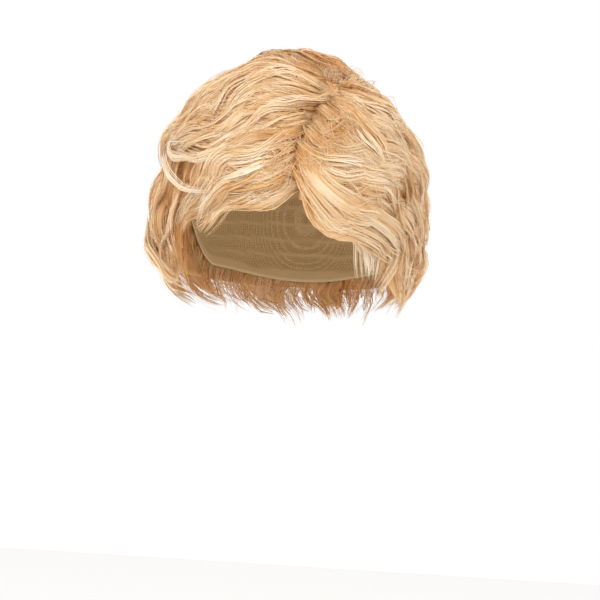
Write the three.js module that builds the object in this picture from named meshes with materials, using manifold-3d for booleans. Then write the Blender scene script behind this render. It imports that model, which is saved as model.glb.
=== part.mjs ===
// A short wavy wig: a thin close-fitting cap and six sections of hair fused from locks.
// Millimetres. +Z up, the face looks along -Y, the wearer's left is +X.
// The origin is the top of the head, where the cap's inside rests on it.
import * as THREE from "three";
import { mergeVertices } from "three/addons/utils/BufferGeometryUtils.js";
import Module from "manifold-3d";

const wasm = await Module();
wasm.setup();

// The head that the wig fits
const HEAD_BREADTH = 155;
const HEAD_LENGTH = 197;
const CROWN_RISE = 100; // from the widest level of the head up to its top
const HEAD_SQUARENESS = 2.25; // 2 would be an ellipsoid

// The cap and the hair on it
const CAP_WALL = 1.2;
const BED_THICKNESS = 13; // hair packed tight at the roots
const HEM_SHARE = 0.45; // of that thickness, left along a bed's lower edge
const HAIR_DEPTH = 25; // from the head out to the top of the waves
const LOCK_WIDTH = 27;
const LOCK_THICKNESS = 11;
const ROOT_FULLNESS = 0.62; // of a lock's width and thickness, where it starts
const ROOT_REACH = 0.3; // share of its length over which it grows full
const TIP_START = 0.5; // share of its length from which it narrows
const TIP_FULLNESS = 0.16; // of its width and thickness, where it ends
const PIECE_GAP = 0.4; // between two pieces that touch

// How finely the solids are divided
const DOME_COLUMNS = 28;
const CAP_ROWS = 7;
const CROWN_BED_ROWS = 3;
const BED_STEP = 17; // degrees along a bed of roots
const RING_SPACING = 19; // along a lock
const LOCK_SIDES = 5; // one corner is a ridge along the outer face
const WELD = 0.05; // corners closer than this become one where solids are joined or cut

const HAIR_COLOUR = 0xd8b47c;
const CAP_COLOUR = 0xb99a6c;

const radians = THREE.MathUtils.degToRad;
const headCentre = new THREE.Vector3(0, 0, -CROWN_RISE);
const headAxes = [HEAD_BREADTH / 2, HEAD_LENGTH / 2, CROWN_RISE];

// The outward direction of the head's surface at, or beside, a point.
function outward(point) {
  const from = point.clone().sub(headCentre).toArray();
  const slope = from.map(
    (p, i) => (Math.sign(p) * Math.abs(p / headAxes[i]) ** (HEAD_SQUARENESS - 1)) / headAxes[i],
  );
  return new THREE.Vector3(...slope).normalize();
}

// A place on the head: turn goes from the face round towards the wearer's left, drop goes
// from the top down, both in degrees as seen from the head's centre, and lift is millimetres out.
function onHead(turn, drop, lift) {
  const across = Math.sin(radians(drop));
  const ray = new THREE.Vector3(
    across * Math.sin(radians(turn)),
    -across * Math.cos(radians(turn)),
    Math.cos(radians(drop)),
  );
  const powers = ray.toArray().map((p, i) => Math.abs(p / headAxes[i]) ** HEAD_SQUARENESS);
  const reach = (powers[0] + powers[1] + powers[2]) ** (-1 / HEAD_SQUARENESS);
  const point = ray.multiplyScalar(reach).add(headCentre);
  return point.clone().addScaledVector(outward(point), lift);
}

// A closed skin over rings of points, each end closed by a fan round the ring's middle.
function loft(rings) {
  const count = rings[0].length;
  const middles = [rings[0], rings.at(-1)].map((ring) =>
    ring.reduce((sum, p) => sum.add(p), new THREE.Vector3()).divideScalar(count),
  );
  const points = [...rings.flat(), ...middles];
  const first = rings.length * count;
  const last = (rings.length - 1) * count;
  const faces = [];
  for (let side = 0; side < count; side++) {
    const next = (side + 1) % count;
    for (let row = 0; row < rings.length - 1; row++) {
      const [a, b] = [row * count + side, row * count + next];
      faces.push(a, b, b + count, a, b + count, a + count);
    }
    faces.push(first, next, side, first + 1, last + side, last + next);
  }
  return new THREE.BufferGeometry().setFromPoints(points).setIndex(faces);
}

function toSolid(geometry) {
  const merged = mergeVertices(geometry);
  return new wasm.Manifold(
    new wasm.Mesh({
      tolerance: WELD,
      numProp: 3,
      vertProperties: merged.getAttribute("position").array,
      triVerts: new Uint32Array(merged.index.array),
    }),
  );
}

function toGeometry(solid) {
  const mesh = solid.getMesh();
  const geometry = new THREE.BufferGeometry();
  geometry.setAttribute("position", new THREE.BufferAttribute(mesh.vertProperties, 3));
  geometry.setIndex(new THREE.BufferAttribute(mesh.triVerts, 1));
  geometry.computeVertexNormals();
  return geometry;
}

// Smooth value at a turn, from a table of [turn, value] that runs right round the head.
function around(table, turn) {
  const wrapped = ((turn % 360) + 360) % 360;
  const after = table.findIndex(([at]) => at > wrapped);
  const [from, to] = [table[after - 1], table[after]];
  const share = (wrapped - from[0]) / (to[0] - from[0]);
  return from[1] + (to[1] - from[1]) * (0.5 - 0.5 * Math.cos(Math.PI * share));
}

// The cap's edge as [turn, drop]: hairline, temple, tab before the ear, notch over it, nape.
const CAP_EDGE = [
  [0, 68], [42, 74], [68, 98], [96, 88], [132, 114], [180, 118],
  [228, 114], [264, 88], [292, 98], [318, 74], [360, 68],
];

// A length along the head as degrees. The radius is less than any the head has, so that the
// degrees are never too few.
function slack(length) {
  const shortRadius = HEAD_BREADTH / 3;
  return THREE.MathUtils.radToDeg(length / shortRadius);
}

// A dome from its top to an edge, between two lifts: its rings run down the inside and back
// up the outside.
function dome(edge, inner, outer, rows, grow) {
  const level = (share, lift) =>
    Array.from({ length: DOME_COLUMNS }, (_, i) => {
      const turn = (360 * i) / DOME_COLUMNS;
      return onHead(turn, (around(edge, turn) + slack(grow)) * share, lift);
    });
  const shares = Array.from({ length: rows }, (_, row) => (row + 1) / rows);
  return loft([
    ...shares.map((share) => level(share, inner - grow)),
    ...shares.reverse().map((share) => level(share, outer + grow)),
  ]);
}

// A bed of packed hair over part of the head, from its four sides in degrees. One that goes
// right round is a dome. It starts at the head, and the cap is cut out of it afterwards.
function bed({ turns, drops }, grow) {
  const [inner, outer] = [0, CAP_WALL + PIECE_GAP + BED_THICKNESS];
  if (turns[1] - turns[0] === 360) {
    const edge = turns.map((turn) => [turn, drops[1]]);
    return dome(edge, inner, outer, CROWN_BED_ROWS, grow);
  }
  const [left, right] = [turns[0] - slack(grow), turns[1] + slack(grow)];
  const [high, low] = [drops[0] - slack(grow), drops[1] + slack(grow)];
  const columns = Math.max(2, Math.round((right - left) / BED_STEP));
  const rows = Math.max(2, Math.round((low - high) / BED_STEP));
  return loft(
    Array.from({ length: columns + 1 }, (_, i) => {
      const turn = left + ((right - left) * i) / columns;
      const climb = Array.from({ length: rows + 1 }, (_, j) => j / rows);
      const drop = (share) => low + (high - low) * share;
      const top = (share) => inner + (outer - inner) * (share === 0 ? HEM_SHARE : 1);
      return [
        ...climb.map((share) => onHead(turn, drop(share), inner - grow)),
        ...climb.reverse().map((share) => onHead(turn, drop(share), top(share) + grow)),
      ];
    }),
  );
}

// How wide and thick a lock is at a share of its length: full in the belly, drawn to a tip.
function fullness(share) {
  const swell = ROOT_FULLNESS + (1 - ROOT_FULLNESS) * Math.min(1, share / ROOT_REACH);
  const past = Math.max(0, (share - TIP_START) / (1 - TIP_START));
  return swell * (TIP_FULLNESS + (1 - TIP_FULLNESS) * Math.sqrt(1 - past ** 2));
}

// One lock, swept so that its outer face follows its way over the head.
function lock({ width, way }, grow) {
  const stops = way.map(([turn, drop, lift]) => onHead(turn, drop, lift * HAIR_DEPTH));
  const curve = new THREE.CatmullRomCurve3(stops, false, "centripetal");
  const rings = Math.round(curve.getLength() / RING_SPACING) + 1;
  return loft(
    Array.from({ length: rings + 1 }, (_, i) => {
      const share = i / rings;
      const along = curve.getTangentAt(share);
      const face = curve.getPointAt(share);
      const across = outward(face).cross(along).normalize();
      const out = along.clone().cross(across);
      const [halfWidth, halfDepth] = [width * LOCK_WIDTH, LOCK_THICKNESS].map(
        (size) => (size / 2) * fullness(share),
      );
      const middle = face
        .addScaledVector(out, -halfDepth)
        .addScaledVector(along, (2 * share - 1) * grow);
      const [half, deep] = [halfWidth + grow, halfDepth + grow];
      return Array.from({ length: LOCK_SIDES }, (_, side) => {
        const angle = Math.PI / 2 + (2 * Math.PI * side) / LOCK_SIDES;
        return middle
          .clone()
          .addScaledVector(across, half * Math.cos(angle))
          .addScaledVector(out, deep * Math.sin(angle));
      });
    }),
  );
}

// The locks. Width is a share of LOCK_WIDTH. A way is a few stops of [turn, drop, lift], with
// the lift as a share of HAIR_DEPTH.
const FRINGE_LEFT = [
  { width: 0.8, way: [[9, 62, 0.45], [12, 73, 0.7], [19, 85, 0.75], [30, 92, 0.72], [45, 96, 0.66], [54, 103, 0.5], [54, 112, 0.3]] },
  { width: 1.0, way: [[10, 57, 0.45], [16, 68, 0.8], [25, 78, 0.88], [38, 85, 0.88], [50, 91, 0.8], [60, 100, 0.6], [62, 110, 0.45]] },
  { width: 1.0, way: [[13, 52, 0.45], [20, 61, 0.82], [30, 69, 0.92], [42, 75, 0.95], [54, 82, 0.9], [62, 92, 0.76]] },
  { width: 0.9, way: [[19, 48, 0.5], [27, 56, 0.82], [37, 62, 0.96], [49, 65, 0.98], [61, 70, 0.95], [70, 80, 0.9]] },
  { width: 1.1, way: [[24, 41, 0.5], [34, 48, 0.85], [45, 55, 0.95], [55, 61, 0.95], [66, 68, 0.95]] },
  { width: 0.55, way: [[33, 80, 0.42], [36, 92, 0.32], [38, 103, 0.26], [39, 112, 0.2]] },
];
const FRINGE_RIGHT = [
  { width: 0.7, way: [[10, 72, 0.42], [2, 76, 0.5], [-9, 79, 0.56], [-19, 84, 0.52], [-28, 89, 0.4], [-34, 93, 0.3]] },
  { width: 0.85, way: [[9, 65, 0.45], [0, 70, 0.7], [-12, 73, 0.78], [-24, 79, 0.74], [-33, 86, 0.6], [-40, 93, 0.42]] },
  { width: 1.0, way: [[9, 57, 0.45], [-2, 62, 0.8], [-15, 65, 0.88], [-28, 67, 0.86], [-41, 67, 0.86], [-53, 64, 0.98]] },
  { width: 1.0, way: [[13, 48, 0.45], [2, 51, 0.82], [-13, 54, 0.92], [-28, 59, 0.94], [-44, 62, 0.96], [-60, 62, 1.05]] },
  { width: 1.0, way: [[18, 40, 0.5], [5, 41, 0.85], [-13, 43, 0.95], [-30, 49, 0.96], [-46, 55, 0.98], [-62, 58, 1.06]] },
  { width: 0.45, way: [[-52, 52, 0.7], [-68, 58, 1.08], [-68, 66, 1.08], [-54, 74, 0.95], [-40, 79, 0.8], [-29, 84, 0.6]] },
];
const CROWN = [
  { width: 1.1, way: [[22, 31, 0.5], [4, 27, 0.9], [-22, 28, 0.98], [-46, 36, 0.98], [-64, 46, 1.0], [-74, 56, 1.0]] },
  { width: 1.1, way: [[20, 24, 0.5], [-10, 16, 0.95], [-66, 20, 1.0], [-86, 34, 1.0], [-94, 48, 0.95]] },
  { width: 1.1, way: [[28, 20, 0.5], [10, 8, 0.98], [-130, 14, 1.02], [-128, 34, 0.98], [-126, 50, 0.9]] },
  { width: 1.1, way: [[40, 20, 0.5], [70, 9, 0.95], [-175, 17, 0.98], [-162, 34, 0.95], [-158, 48, 0.9]] },
  { width: 1.1, way: [[48, 26, 0.5], [100, 16, 0.9], [150, 24, 0.95], [165, 38, 0.92], [168, 52, 0.88]] },
  { width: 1.1, way: [[44, 30, 0.5], [84, 25, 0.88], [112, 32, 0.95], [130, 44, 0.95], [138, 56, 0.9]] },
  { width: 1.1, way: [[36, 33, 0.5], [62, 33, 0.88], [84, 39, 0.95], [99, 50, 0.98], [108, 62, 0.95]] },
  { width: 1.1, way: [[30, 36, 0.5], [47, 40, 0.86], [64, 46, 0.95], [78, 56, 1.0], [84, 68, 1.0]] },
  { width: 0.5, way: [[26, 28, 0.7], [38, 24, 1.02], [50, 23, 1.12], [62, 25, 1.14]] },
];
const SIDE_LEFT = [
  { width: 0.95, way: [[76, 50, 0.5], [82, 62, 0.92], [87, 75, 0.98], [90, 86, 0.86], [91, 94, 0.8]] },
  { width: 0.9, way: [[62, 66, 0.45], [66, 80, 0.75], [71, 94, 0.78], [77, 105, 0.7], [76, 115, 0.5]] },
  { width: 0.9, way: [[80, 74, 0.45], [84, 88, 0.8], [89, 100, 0.86], [90, 112, 0.76], [86, 122, 0.58]] },
  { width: 0.7, way: [[62, 92, 0.4], [65, 104, 0.6], [69, 115, 0.6], [71, 126, 0.56], [70, 134, 0.55]] },
  { width: 0.8, way: [[92, 90, 0.45], [97, 104, 0.76], [98, 116, 0.72], [93, 127, 0.6], [88, 135, 0.48]] },
];
const SIDE_RIGHT = [
  { width: 0.95, way: [[-66, 54, 0.5], [-74, 66, 0.8], [-80, 79, 0.98], [-83, 92, 1.12], [-80, 104, 1.02], [-72, 115, 0.66]] },
  { width: 0.9, way: [[-56, 64, 0.4], [-59, 77, 0.66], [-64, 90, 0.85], [-67, 101, 0.82], [-64, 112, 0.55], [-58, 119, 0.34]] },
  { width: 0.7, way: [[-48, 72, 0.36], [-50, 84, 0.5], [-55, 95, 0.5], [-57, 105, 0.4], [-54, 114, 0.28]] },
  { width: 0.9, way: [[-86, 66, 0.5], [-93, 80, 0.9], [-97, 93, 1.1], [-95, 105, 1.0], [-88, 117, 0.7]] },
  { width: 0.8, way: [[-76, 92, 0.45], [-80, 105, 0.66], [-78, 116, 0.5], [-72, 125, 0.34]] },
];

// The back is layered: tiers of locks that fall straight down, each tier over the next.
const BACK_TURNS = [96, 264];
const BACK_TIERS = [
  { root: 40, length: 42, locks: 5, lean: 7 },
  { root: 66, length: 40, locks: 6, lean: -6 },
  { root: 92, length: 38, locks: 6, lean: 6 },
];
const BACK_LIFTS = [0.55, 0.86, 0.94, 0.84, 0.5];
const BACK_WIDTH = 1.5;
const BACK_WAVE = 1.5; // half waves along a lock

function backLocks() {
  return BACK_TIERS.flatMap(({ root, length, locks, lean }) => {
    const step = (BACK_TURNS[1] - BACK_TURNS[0]) / locks;
    return Array.from({ length: locks }, (_, i) => {
      const turn = BACK_TURNS[0] + step * (i + 0.5);
      const way = BACK_LIFTS.map((lift, stop) => {
        const share = stop / (BACK_LIFTS.length - 1);
        return [turn + lean * Math.sin(Math.PI * BACK_WAVE * share), root + length * share, lift];
      });
      return { width: BACK_WIDTH, way };
    });
  });
}

// The sections of hair. One that comes later is cut clear of all those before it.
const SECTIONS = [
  { name: "fringe_left", bed: { turns: [10, 58], drops: [44, 80] }, locks: FRINGE_LEFT },
  { name: "fringe_right", bed: { turns: [-56, 10], drops: [44, 76] }, locks: FRINGE_RIGHT },
  { name: "hair_crown", bed: { turns: [0, 360], drops: [0, 48] }, locks: CROWN },
  { name: "hair_side_left", bed: { turns: [54, 98], drops: [44, 112] }, locks: SIDE_LEFT },
  { name: "hair_side_right", bed: { turns: [-98, -52], drops: [44, 112] }, locks: SIDE_RIGHT },
  { name: "hair_back", bed: { turns: [94, 266], drops: [44, 124] }, locks: backLocks() },
];

function sectionSolid(section, grow) {
  const parts = section.locks.map((row) => toSolid(lock(row, grow)));
  return parts.reduce((whole, part) => whole.add(part), toSolid(bed(section.bed, grow)));
}

// The largest of a solid's separate bodies: the rest are slivers that the cuts leave.
function mainBody(solid) {
  return solid.decompose().reduce((best, body) => (body.volume() > best.volume() ? body : best));
}

function piece(name, geometry, colour, roughness) {
  const material = new THREE.MeshStandardMaterial({ color: colour, roughness, metalness: 0 });
  const mesh = new THREE.Mesh(geometry, material);
  mesh.name = name;
  return mesh;
}

const wig = new THREE.Group();
wig.name = "short_wig";

const cap = toSolid(dome(CAP_EDGE, 0, CAP_WALL, CAP_ROWS, 0));
wig.add(piece("cap", toGeometry(cap), CAP_COLOUR, 0.9));

// What the hair keeps clear of: at first the cap with the head under it
let taken = toSolid(dome(CAP_EDGE, -BED_THICKNESS, CAP_WALL, CAP_ROWS, PIECE_GAP));
for (const section of SECTIONS) {
  const hair = mainBody(sectionSolid(section, 0).subtract(taken));
  wig.add(piece(section.name, toGeometry(hair), HAIR_COLOUR, 0.5));
  taken = taken.add(sectionSolid(section, PIECE_GAP));
}

export default wig;
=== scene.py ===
# %% [markdown]
# # A short wavy wig
# A wig is a thin elastic cap with hair sewn to it in rows. The hair is what the eye sees, so
# nearly all of the work here goes into laying some thousands of fibres in locks, the way a
# stylist combs and curls them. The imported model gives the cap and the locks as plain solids.
# They are loaded first, and everything below stays where they are.

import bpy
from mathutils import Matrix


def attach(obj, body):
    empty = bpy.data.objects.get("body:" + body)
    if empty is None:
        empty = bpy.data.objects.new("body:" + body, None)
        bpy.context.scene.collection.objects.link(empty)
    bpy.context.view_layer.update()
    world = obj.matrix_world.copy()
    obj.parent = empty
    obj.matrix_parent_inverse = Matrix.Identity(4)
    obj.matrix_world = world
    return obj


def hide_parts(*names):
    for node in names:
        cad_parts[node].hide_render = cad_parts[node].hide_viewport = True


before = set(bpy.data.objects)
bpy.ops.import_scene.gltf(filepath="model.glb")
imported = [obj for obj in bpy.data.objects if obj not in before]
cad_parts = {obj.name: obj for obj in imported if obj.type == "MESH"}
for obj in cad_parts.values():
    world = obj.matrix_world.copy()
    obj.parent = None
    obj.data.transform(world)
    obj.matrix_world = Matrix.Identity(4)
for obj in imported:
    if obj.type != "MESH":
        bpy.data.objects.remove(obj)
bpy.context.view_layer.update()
print("nodes:", ", ".join(sorted(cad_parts)))

# %% [markdown]
# ## The head that the wig fits
# Every place on a wig is easiest to give on the head under it. A place is a turn, from the
# face round towards the wearer's left, a drop, from the top of the head down, and a lift, the
# distance out from the skin. The head is a slightly squared ellipsoid, as in the solids, and
# a whole array of places is worked out at once, because there will be a million of them.

import bpy
import numpy as np
from mathutils import Matrix, Vector

MM = 0.001
HEAD_AXES = np.array([77.5, 98.5, 100.0])  # half the breadth, half the length, and the rise to the top
HEAD_SQUARENESS = 2.25  # 2 would be an ellipsoid
HEAD_CENTRE = np.array([0.0, 0.0, -100.0])
HAIR_DEPTH = 25.0  # from the head out to the top of the waves
LOCK_WIDTH = 27.0
LOCK_THICKNESS = 11.0


def unit(vectors):
    """Vectors of length one."""
    return vectors / np.maximum(np.linalg.norm(vectors, axis=-1, keepdims=True), 1e-9)


def outward(points):
    """The direction that the head's surface faces, at or beside each point."""
    from_centre = points - HEAD_CENTRE
    slope = np.abs(from_centre / HEAD_AXES) ** (HEAD_SQUARENESS - 1) / HEAD_AXES
    return unit(np.sign(from_centre) * slope)


def on_head(turn, drop, lift):
    """Points in mm at turns and drops in degrees and lifts in mm."""
    turn, drop, lift = np.broadcast_arrays(np.radians(turn), np.radians(drop), lift)
    ray = np.stack([np.sin(drop) * np.sin(turn), -np.sin(drop) * np.cos(turn), np.cos(drop)], -1)
    reach = (np.abs(ray / HEAD_AXES) ** HEAD_SQUARENESS).sum(-1) ** (-1 / HEAD_SQUARENESS)
    points = ray * reach[..., None] + HEAD_CENTRE
    return points + outward(points) * lift[..., None]


def clear_of_cap(points, lift):
    """The same points, but none nearer to the head than the lift."""
    from_centre = points - HEAD_CENTRE
    share = (np.abs(from_centre / HEAD_AXES) ** HEAD_SQUARENESS).sum(-1) ** (1 / HEAD_SQUARENESS)
    needed = 1 + lift / np.linalg.norm(from_centre, axis=-1)
    push = np.maximum(1.0, needed / np.maximum(share, 1e-9))
    return HEAD_CENTRE + from_centre * push[..., None]


widest = on_head(np.arange(361), 90, 0.0)
print("head round its widest level, in mm:", round(np.linalg.norm(np.diff(widest, axis=0), axis=1).sum()))

# %% [markdown]
# ## How a lock runs
# A lock is drawn by a few stops, and a smooth curve runs through them. At every place along
# it, three directions matter: along the lock, across it, and out from the head. A fibre can
# then be given as a small distance across and out, which is how a comb sees it. Heat has set
# the locks in waves, and neighbours were wound on the same rod, so their waves run nearly in
# step. Hair on the crest of a wave, where it bulges out, gets a painted highlight, and hair in
# the trough gets painted shade.

# %% Guides
STATIONS = 64  # along each guide
CURVE_STEPS = 24  # from stop to stop, before a guide is divided evenly
ROOT_FULLNESS = 0.74  # of a lock's width and thickness, where it starts
ROOT_REACH = 0.3  # share of its length over which it grows full
TIP_START = 0.5  # share of its length from which it narrows
TIP_FULLNESS = 0.4  # of its width and thickness, where it ends
SET_WAVES = (38.0, 60.0)  # lengths of the wave that the heat sets, from section to section
PITCH_SPREAD = (0.94, 1.06)  # each lock's own wave length, as a share of its section's
SET_SPREAD = 0.09  # how far each lock is from its neighbours' wave, as a share of one
WAVE_GROWTH = 3  # the waves grow to their full size over one third of the length
SET_SWAY = 3.4  # sideways
SET_LIFT = 2.2  # in and out
PAINTED_CREST_LIGHT = 0.075  # painted highlight on the crest of a wave, and painted shade in its trough
generator = np.random.default_rng(41)


def fullness(share):
    """How wide and thick a lock is along its length: full in the belly, drawn to a tip."""
    swell = ROOT_FULLNESS + (1 - ROOT_FULLNESS) * np.minimum(1, share / ROOT_REACH)
    past = np.clip((share - TIP_START) / (1 - TIP_START), 0, 1)
    return swell * (TIP_FULLNESS + (1 - TIP_FULLNESS) * np.sqrt(1 - past**2))


def smooth_curve(stops, count):
    """A curve through the stops, as points at even steps along it."""
    ends = [2 * stops[0] - stops[1], *stops, 2 * stops[-1] - stops[-2]]
    t = np.linspace(0, 1, CURVE_STEPS, endpoint=False)[:, None]
    pieces = []
    for a, b, c, d in zip(ends, ends[1:], ends[2:], ends[3:]):
        square = 2 * a - 5 * b + 4 * c - d
        cube = 3 * b - a - 3 * c + d
        pieces.append(0.5 * (2 * b + (c - a) * t + square * t**2 + cube * t**3))
    fine = np.vstack([*pieces, stops[-1][None]])
    run = np.concatenate([[0], np.cumsum(np.linalg.norm(np.diff(fine, axis=0), axis=1))])
    even = np.linspace(0, run[-1], count)
    return np.stack([np.interp(even, run, fine[:, axis]) for axis in range(3)], -1), run[-1]


def guide(width, way, wave, pitch, phase):
    """A lock's guide: its outer face, its three directions, and its size along the way."""
    stops = [on_head(turn, drop, lift * HAIR_DEPTH) for turn, drop, lift in way]
    face, length = smooth_curve([np.asarray(stop) for stop in stops], STATIONS)
    share = np.linspace(0, 1, STATIONS)
    out = outward(face)
    across = unit(np.cross(out, unit(np.gradient(face, axis=0))))
    swing = 2 * np.pi * (share * length / pitch + phase)
    ramp = wave * np.minimum(1, WAVE_GROWTH * share)
    sway = SET_SWAY * ramp * np.sin(swing)
    rise = SET_LIFT * ramp * np.cos(swing)
    face = face + across * sway[:, None] + out * rise[:, None]
    along = unit(np.gradient(face, axis=0))
    across = unit(np.cross(outward(face), along))
    return {
        "face": face,
        "across": across,
        "out": np.cross(along, across),
        "crest": ramp * np.cos(swing),
        "length": length,
        "half_width": width * LOCK_WIDTH / 2 * fullness(share),
        "thickness": LOCK_THICKNESS * fullness(share),
    }


def laid(rows, wave=1.0):
    """The guides of a table's rows, each with its tone. Neighbours share most of their wave."""
    pitch, start = generator.uniform(*SET_WAVES), generator.uniform(0, 1)
    lines = []
    for width, tone, way in rows:
        phase = start + generator.normal(0, SET_SPREAD)
        own_pitch = pitch * generator.uniform(*PITCH_SPREAD)
        lines.append((guide(width, way, wave, own_pitch, phase), tone))
    return lines


def between(first, second, mix):
    """A guide part of the way from one guide to the next."""
    return {key: first[key] * (1 - mix) + second[key] * mix for key in first}


def at(values, share):
    """A guide's values at shares of its length, which may run a little past either end."""
    place = share * (STATIONS - 1)
    low = np.clip(place.astype(int), 0, STATIONS - 2)
    rest = place - low
    if values.ndim == 2:
        rest = rest[..., None]
    return values[low] * (1 - rest) + values[low + 1] * rest


# %% [markdown]
# ## From lines to fibres
# Real wig fibre is about 0.08 mm thick, far too fine to show or to afford. Here a fibre is
# drawn about 0.5 mm wide, under one pixel, as a closed flat prism with three sides and a
# drawn-out tip. Its long edges are sharp and the rest is smooth, so that it shines along its
# whole length as one streak. All the fibres of one section become one mesh, written straight
# from arrays, which takes a second where objects would take hours. Each corner also keeps a
# tone, from 0 for the deep honey shades to 1 for the palest.

# %% Prisms from lines
SIDES = 3
SECTION_ACROSS = np.array([0.5, 0.0, -0.5])  # corners of a fibre's section, as shares of its width
SECTION_OUT = np.array([-0.1, 0.2, -0.1])
TRIANGLES = {}  # of each piece of hair


def prisms(lines, sideways, widths):
    """Corners, quads and end triangles of a prism along each line, [fibre, station, 3] in mm."""
    fibres, stations, _ = lines.shape
    along = unit(np.gradient(lines, axis=1))
    sideways = unit(sideways - along * (sideways * along).sum(-1, keepdims=True))
    up = np.cross(along, sideways)
    ring = (
        sideways[:, :, None] * SECTION_ACROSS[None, None, :, None]
        + up[:, :, None] * SECTION_OUT[None, None, :, None]
    )
    corners = lines[:, :, None] + ring * widths[:, :, None, None]
    index = np.arange(fibres * stations * SIDES).reshape(fibres, stations, SIDES)
    turned = np.roll(index, -1, axis=2)
    quads = np.stack([index[:, :-1], turned[:, :-1], turned[:, 1:], index[:, 1:]], -1).reshape(-1, 4)
    ends = np.concatenate([index[:, 0, ::-1], index[:, -1]])
    return corners.reshape(-1, 3), quads, ends


def make_mesh(name, corners, quads, triangles, values, sharp_step=0):
    """An object from arrays in mm, smooth, with named values kept at its corners."""
    mesh = bpy.data.meshes.new(name)
    mesh.vertices.add(len(corners))
    mesh.vertices.foreach_set("co", (corners * MM).astype(np.float32).ravel())
    loops = np.concatenate([quads.ravel(), triangles.ravel()]).astype(np.int32)
    sizes = np.concatenate([np.full(len(quads), 4), np.full(len(triangles), 3)])
    mesh.loops.add(len(loops))
    mesh.loops.foreach_set("vertex_index", loops)
    mesh.polygons.add(len(sizes))
    mesh.polygons.foreach_set("loop_start", np.concatenate([[0], np.cumsum(sizes)[:-1]]).astype(np.int32))
    mesh.polygons.foreach_set("use_smooth", np.ones(len(sizes), bool))
    mesh.update(calc_edges=True)
    if sharp_step:
        edges = np.empty(2 * len(mesh.edges), np.int32)
        mesh.edges.foreach_get("vertices", edges)
        long_edges = np.abs(np.diff(edges.reshape(-1, 2), axis=1)).ravel() == sharp_step
        mesh.attributes.new("sharp_edge", "BOOLEAN", "EDGE").data.foreach_set("value", long_edges)
    for value_name, value in values.items():
        kind, field = ("FLOAT", "value") if value.ndim == 1 else ("FLOAT_VECTOR", "vector")
        layer = mesh.attributes.new(value_name, kind, "POINT")
        layer.data.foreach_set(field, value.astype(np.float32).ravel())
    piece = bpy.data.objects.new(name, mesh)
    bpy.context.scene.collection.objects.link(piece)
    return piece


def joined_mesh(name, made, skins, sharp_step=0):
    """One piece from closed skins, each with its corners, quads, triangles and named values."""
    corners, quads, triangles, kept = [], [], [], []
    used = 0
    for points, faces, caps, values in skins:
        corners.append(points)
        quads.append(faces + used)
        triangles.append(caps + used)
        kept.append(values)
        used += len(points)
    corners, quads, triangles = (np.concatenate(part) for part in (corners, quads, triangles))
    values = {key: np.concatenate([value[key] for value in kept]) for key in kept[0]}
    TRIANGLES[name] = 2 * len(quads) + len(triangles)
    print(f"{name}: {made}, {TRIANGLES[name]} triangles")
    return make_mesh(name, corners, quads, triangles, values, sharp_step)


# %% [markdown]
# ## Combing a lock
# Hair doesn't lie evenly in a lock. It gathers into wisps like narrow ribbons, each with its
# own place, depth, sway and shade, which turn a little about their own length and cross their
# neighbours. The fibres of a wisp lie side by side and draw together towards its tip. A few
# leave it and stand off: they make the soft edge of the outline. The deeper wisps get painted
# shade, as do the sides of a lock where the next one covers it, the roots, and the hair at the
# parting, which stands up in its own shade; the tips get painted light. All of it is drawn
# from one seeded generator, so each run is the same.

# %% Fibres of one guide
FIBRE_WIDTH = 0.52  # about six times the real one
STEP = 8.7  # mm between a fibre's stations
MIN_STATIONS = 7
MAX_STATIONS = 20
DRIFTS = (58.0, 97.0)  # lengths of a wisp's own slow sways
DRIFT_ACROSS = 1.5  # mm, across the lock and out from it
DRIFT_OUT = 0.55
ROLL = 0.45  # radians that a wisp turns about its length, either way
PINCH = 0.62  # how much of a wisp's width is gone at its tip
SIDE_SPREAD = 0.62  # of the fibres in a wisp: close in its middle, thin at its edges
CUP = 0.3  # mm that the edges of a wisp curl down
FRIZZ = 0.16  # mm that each fibre waves by itself
FRIZZ_LENGTHS = (17.0, 27.0)
CAP_CLEARANCE = 2.0  # of every fibre from the head
SURFACE_TONE = 0.69  # of the hair on top, before the shades below
PAINTED_DEPTH_SHADE = 0.1  # painted shade on the deepest wisps of a lock, which lie under the others
WISP_SHADE = 0.055  # how far wisps, and fibres, are from each other's tone
FIBRE_SHADE = 0.075
# painted light towards a fibre's tip, where it lies outermost, and painted shade towards its root, under
# the other hair
PAINTED_TIP_LIGHT = 0.1
PAINTED_EDGE_SHADE = 0.16  # painted shade on the sides of a lock, where the next one covers it
PAINTED_PARTING_SHADE = 0.2  # painted shade on the hair at the parting and the whorl, where it stands up in its own shade
ROOT_SPREAD = 17.0  # mm from the parting over which that fades
PARTING = [(31, 31), (27, 37), (25, 45), (20, 54), (14, 60), (8, 64), (7, 71)]  # turn, drop
PARTING_LIFT = 20.0
WILDEST = 2.4  # times the drift of a usual wisp
HIGHEST = 3.2  # mm that a fibre may stand out from its guide
WISP_ENDS = 9.0  # mm over which the wisps of a lock end
FIBRE_ENDS = 5.0  # mm over which most fibres of a wisp end
OWN_SWAY = 0.75  # of a wisp's own wave
OWN_LIFT = 0.5
TAME = 0.35  # of the drift that every wisp has, the rest being for the few wild ones
PLACE_JITTER = (0.1, 0.9)  # where a wisp lies in its own part of the lock's width
WISP_STARTS = 0.06  # share of the guide over which the wisps begin
FIBRE_STARTS = 0.04  # and the fibres of each wisp
SHORTEST = 0.3  # share of the guide that every fibre covers
SLIMMEST = 0.5  # mm, the least half width and thickness of a guide
EDGE_MARGIN = 1  # mm from a lock's edge to the middle of its outermost wisps
PHASE_SPREAD = 0.5  # radians between the waves of a lock's wisps
DRIFT_SPREAD = 0.6  # of the drifts, from wisp to wisp
SIDE_LIMIT = 1.7  # times a wisp's half width, for its outermost fibres
WISP_WIDTHS = (0.7, 1.3)  # each wisp's own width, as a share of the usual
WISP_HALF = 0.9  # mm that a wisp's half width has over its share of the lock's
PINCH_POWER = 1.6  # keeps it wide until late
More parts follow.
